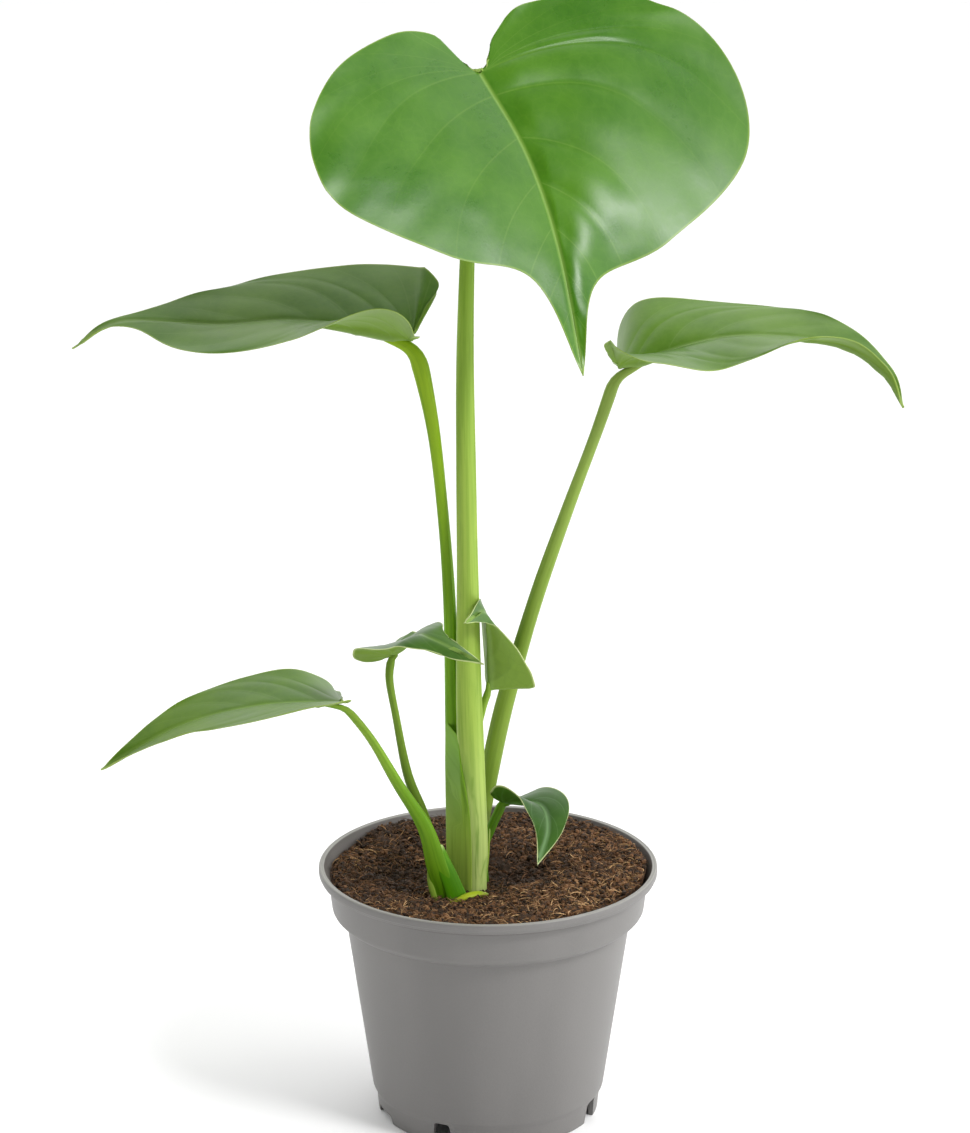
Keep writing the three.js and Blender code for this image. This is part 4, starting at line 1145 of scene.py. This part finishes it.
class PlantPotSettings(bpy.types.PropertyGroup):
    """Sizes and colour of the pot"""
    height: FloatProperty(
        name="Height", description="Height of the pot", default=POT_HIGH.z, unit="LENGTH", min=0.05)
    lip_radius: FloatProperty(
        name="Lip radius", description="Outer radius of the lip", default=POT_HIGH.x, unit="LENGTH", min=0.03)
    wall: FloatProperty(
        name="Wall", description="Thickness of the wall", default=0.0012, unit="LENGTH", min=0.0005)
    sides: IntProperty(name="Sides", description="Steps round the pot", default=160, min=24)
    grain: FloatProperty(
        name="Grain", description="Depth of the moulded grain", default=0.00003, unit="LENGTH", precision=6)
    colour: FloatVectorProperty(
        name="Colour", description="Colour of the plastic", default=rgb(113, 111, 109), subtype="COLOR", min=0, max=1)
    # A lighter grey on the top of the lip.
    lip_colour: FloatVectorProperty(
        name="Lip colour", description="Colour of the lighter top of the lip", default=rgb(136, 134, 129),
        subtype="COLOR", min=0, max=1)
    # Painted shade that darkens the wall's inside above the soil.
    painted_shade_colour: FloatVectorProperty(
        name="Inside colour", description="Colour of the shaded wall above the soil", default=rgb(78, 72, 68),
        subtype="COLOR", min=0, max=1)


class PlantSoilSettings(bpy.types.PropertyGroup):
    """Relief, litter and colours of the soil"""
    rings: IntProperty(name="Rings", description="Steps from the wall to the middle", default=84, min=12)
    grain_height: FloatProperty(
        name="Grain height", description="Height of the crumbly relief", default=0.0017, unit="LENGTH")
    fibres: IntProperty(name="Fibres", description="Number of loose fibres", default=7000, min=1)
    fibre_length: FloatProperty(
        name="Fibre length", description="Half length of a middling fibre", default=0.0012, unit="LENGTH")
    crumbs: IntProperty(name="Crumbs", description="Number of loose crumbs", default=8000, min=1)
    crumb_size: FloatProperty(
        name="Crumb size", description="Radius of the largest crumbs", default=0.0011, unit="LENGTH")
    seed: IntProperty(name="Seed", description="Start of the random places", default=4)
    dark: FloatVectorProperty(
        name="Dark", description="Colour of damp peat", default=rgb(46, 32, 20), subtype="COLOR", min=0, max=1)
    brown: FloatVectorProperty(
        name="Brown", description="Colour of dry peat", default=rgb(124, 86, 54), subtype="COLOR", min=0, max=1)
    tan: FloatVectorProperty(
        name="Tan", description="Colour of coir fibre", default=rgb(214, 172, 122), subtype="COLOR", min=0, max=1)


class PlantLeafSettings(bpy.types.PropertyGroup):
    """Build of the leaf blades"""
    thickness: FloatProperty(
        name="Thickness", description="Thickness between the veins", default=0.00055, unit="LENGTH", precision=5)
    quilting: FloatProperty(
        name="Quilting", description="How much the blade swells between its veins", default=1.0, min=0, max=3)
    skin_grain: FloatProperty(
        name="Skin grain", description="Depth of the fine skin", default=0.000012, unit="LENGTH", precision=6)


class PlantStalkSettings(bpy.types.PropertyGroup):
    """Build of the stalks"""
    sides: IntProperty(name="Sides", description="Steps round a stalk", default=48, min=8)
    fibre_depth: FloatProperty(
        name="Fibre depth", description="Depth of the long fibres", default=0.00003, unit="LENGTH", precision=6)


class PlantStageSettings(bpy.types.PropertyGroup):
    """Floor, light and camera"""
    floor_size: FloatProperty(name="Floor", description="Side of the floor", default=24, unit="LENGTH")
    floor_colour: FloatVectorProperty(
        name="Floor colour", description="Colour of the floor", default=(0.965, 0.965, 0.965), subtype="COLOR",
        min=0, max=1)
    surround: FloatProperty(
        name="Surround", description="Strength of the even light", default=1.52, min=0)
    surround_front: FloatProperty(
        name="Surround in front", description="Strength of the even light from behind the camera", default=0.25, min=0)
    key: FloatProperty(name="Key", description="Power of the main light", default=9.0, unit="POWER", min=0)
    gloss: FloatProperty(
        name="Gloss", description="Power of the small light from above", default=20.0, unit="POWER", min=0)
    sheen: FloatProperty(
        name="Sheen", description="Power of the light from the right", default=1.8, unit="POWER", min=0)
    focal_length: FloatProperty(
        name="Focal length", description="Focal length of the camera, in millimetres", default=119.31, min=10)
    distance: FloatProperty(
        name="Distance", description="Camera to target", default=1.3, unit="LENGTH", min=0.1)
    pitch: FloatProperty(
        name="Pitch", description="How far the camera looks down", default=math.radians(16.37), subtype="ANGLE")
    target_height: FloatProperty(
        name="Target height", description="Height the camera looks at", default=0.2013, unit="LENGTH")


# Operators

class PlantOperator(bpy.types.Operator):
    bl_options = {"REGISTER", "UNDO"}


class PLANT_OT_pot(PlantOperator):
    """Builds the nursery pot"""
    bl_idname = "plant.pot"
    bl_label = "Pot"

    def execute(self, context):
        piece(build_pot(context.scene.plant_pot), "pot_plastic", "pot")
        return {"FINISHED"}


class PLANT_OT_soil(PlantOperator):
    """Builds the soil with its fibres and crumbs"""
    bl_idname = "plant.soil"
    bl_label = "Soil"

    def execute(self, context):
        settings = context.scene.plant_soil
        piece(build_soil(settings, context.scene.plant_pot), "soil", "potting_soil")
        piece(build_fibres(settings), "soil")
        piece(build_crumbs(settings), "soil")
        return {"FINISHED"}


class PLANT_OT_stalks(PlantOperator):
    """Builds the seven leaf stalks"""
    bl_idname = "plant.stalks"
    bl_label = "Leaf stalks"

    def execute(self, context):
        settings = context.scene.plant_stalks
        materials = {name: stalk_material(name, look, settings) for name, look in STALK_LOOKS.items()}
        for name, stalk in STALKS.items():
            line, length, own = stalk_line(stalk, BLADES[name])
            obj = build_tube(f"{name}_stalk_skin", line, stalk["across"], stalk["through"],
                             max(30, int(length / 2.2)), settings.sides, stalk.get("fin"), own)
            obj.data.materials.append(materials[stalk["look"]])
            parts = []
            if name == "left_leaf":
                points = left_sheath_points()
                parts.append(build_sheet("left_sheath", points, 0.35, np.linspace(0, 0.3, len(points)),
                                         materials["olive"]))
            if name == "low_left_leaf":
                points = clasp_points()
                parts.append(build_sheet("clasping_sheath", points, 0.4, np.linspace(0, 1, len(points)) ** 6,
                                         materials["clasp"]))
                parts.append(build_strip("clasping_strip", CLASP_STRIP, materials["pale"]))
            if name == "small_leaf":
                parts.append(build_strip("small_sheath_strip", SMALL_STRIP, materials["pale"]))
            if parts:
                join(obj, *parts)
            piece(obj, "stalk", f"{name}_stalk")
        piece(build_strip("base_flap", FLAP, materials["flap"]), "dry_sheath", "base_sheath")
        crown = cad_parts["crown_and_roots"]
        crown.data.materials.clear()
        crown.data.materials.append(materials["pale"])
        return {"FINISHED"}


class PLANT_OT_blades(PlantOperator):
    """Builds the seven leaf blades"""
    bl_idname = "plant.blades"
    bl_label = "Leaf blades"

    def execute(self, context):
        settings = context.scene.plant_leaf
        materials = {name: leaf_materials(name, look, settings) for name, look in LEAF_LOOKS.items()}
        for name, blade in BLADES.items():
            kind = blade["kind"]
            obj = build_blade(f"{name}_blade_skin", {**LEAF_KINDS[kind], **blade}, settings, materials[kind])
            piece(obj, "leaf", f"{name}_blade")
        return {"FINISHED"}


class PLANT_OT_stage(PlantOperator):
    """Sets up the floor, the light and the camera"""
    bl_idname = "plant.stage"
    bl_label = "Stage"

    def execute(self, context):
        stage = context.scene.plant_stage
        scene = context.scene
        scene.view_settings.view_transform = "Standard"
        floor = add_shape(bpy.ops.mesh.primitive_plane_add, size=stage.floor_size, location=(0, 0, 0))
        floor.name = "floor"
        material, n, shader = new_material("pale_floor", 0.2)
        shader.inputs["Roughness"].default_value = 0.9
        colour = tuple(stage.floor_colour)
        n.feed(shader.inputs["Base Color"], n.mix(n.noise(n.place(), 3.0, 2), tuple(c * 0.99 for c in colour), colour))
        floor.data.materials.append(material)
        world = bpy.data.worlds.new("soft_surround")
        world.use_nodes = True
        background = world.node_tree.nodes["Background"]
        background.inputs["Color"].default_value = (1, 1, 1, 1)
        sky = Nodes(world.node_tree)
        ahead = sky.add("VectorMath", {0: sky.add("TexCoord").outputs["Generated"], 1: SKY_FRONT},
                        operation="DOT_PRODUCT").outputs["Value"]
        sky.feed(background.inputs["Strength"], sky.remap(ahead, 0.1, 0.9, stage.surround, stage.surround_front))
        scene.world = world
        target = Vector((0, 0, stage.target_height))
        for name, place, size in LAMPS:
            bpy.ops.object.light_add(type="AREA", location=place)
            lamp = context.active_object
            lamp.name = lamp.data.name = name
            lamp.data.shape, lamp.data.size, lamp.data.energy = "SQUARE", size, getattr(stage, name)
            lamp.rotation_euler = (target - Vector(place)).to_track_quat("-Z", "Y").to_euler()
        back = Vector((0, -math.cos(stage.pitch), math.sin(stage.pitch)))
        bpy.ops.object.camera_add(location=target + back * stage.distance + Vector((CAMERA_SHIFT, 0, 0)),
                                  rotation=(math.pi / 2 - stage.pitch, 0, 0))
        camera = context.active_object
        camera.data.lens = stage.focal_length
        camera.data.clip_end = 50
        scene.camera = camera
        return {"FINISHED"}


class PLANT_PT_panel(bpy.types.Panel):
    """Lists the steps that build the plant"""
    bl_idname = "PLANT_PT_panel"
    bl_label = "Potted plant"
    bl_space_type = "VIEW_3D"
    bl_region_type = "UI"
    bl_category = "Plant"

    def draw(self, context):
        for operator in OPERATORS:
            self.layout.operator(operator.bl_idname)


SETTINGS = {"plant_pot": PlantPotSettings, "plant_soil": PlantSoilSettings, "plant_leaf": PlantLeafSettings,
            "plant_stalks": PlantStalkSettings, "plant_stage": PlantStageSettings}
OPERATORS = (PLANT_OT_pot, PLANT_OT_soil, PLANT_OT_stalks, PLANT_OT_blades, PLANT_OT_stage)
CLASSES = (*SETTINGS.values(), *OPERATORS, PLANT_PT_panel)


def register():
    for cls in CLASSES:
        bpy.utils.register_class(cls)
    for name, cls in SETTINGS.items():
        setattr(bpy.types.Scene, name, PointerProperty(type=cls))


def unregister():
    for name in SETTINGS:
        delattr(bpy.types.Scene, name)
    for cls in reversed(CLASSES):
        bpy.utils.unregister_class(cls)


def main():
    register()
    bpy.ops.plant.pot()
    bpy.ops.plant.soil()
    bpy.ops.plant.stalks()
    bpy.ops.plant.blades()
    bpy.ops.plant.stage()
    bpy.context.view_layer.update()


if __name__ == "__main__":
    main()
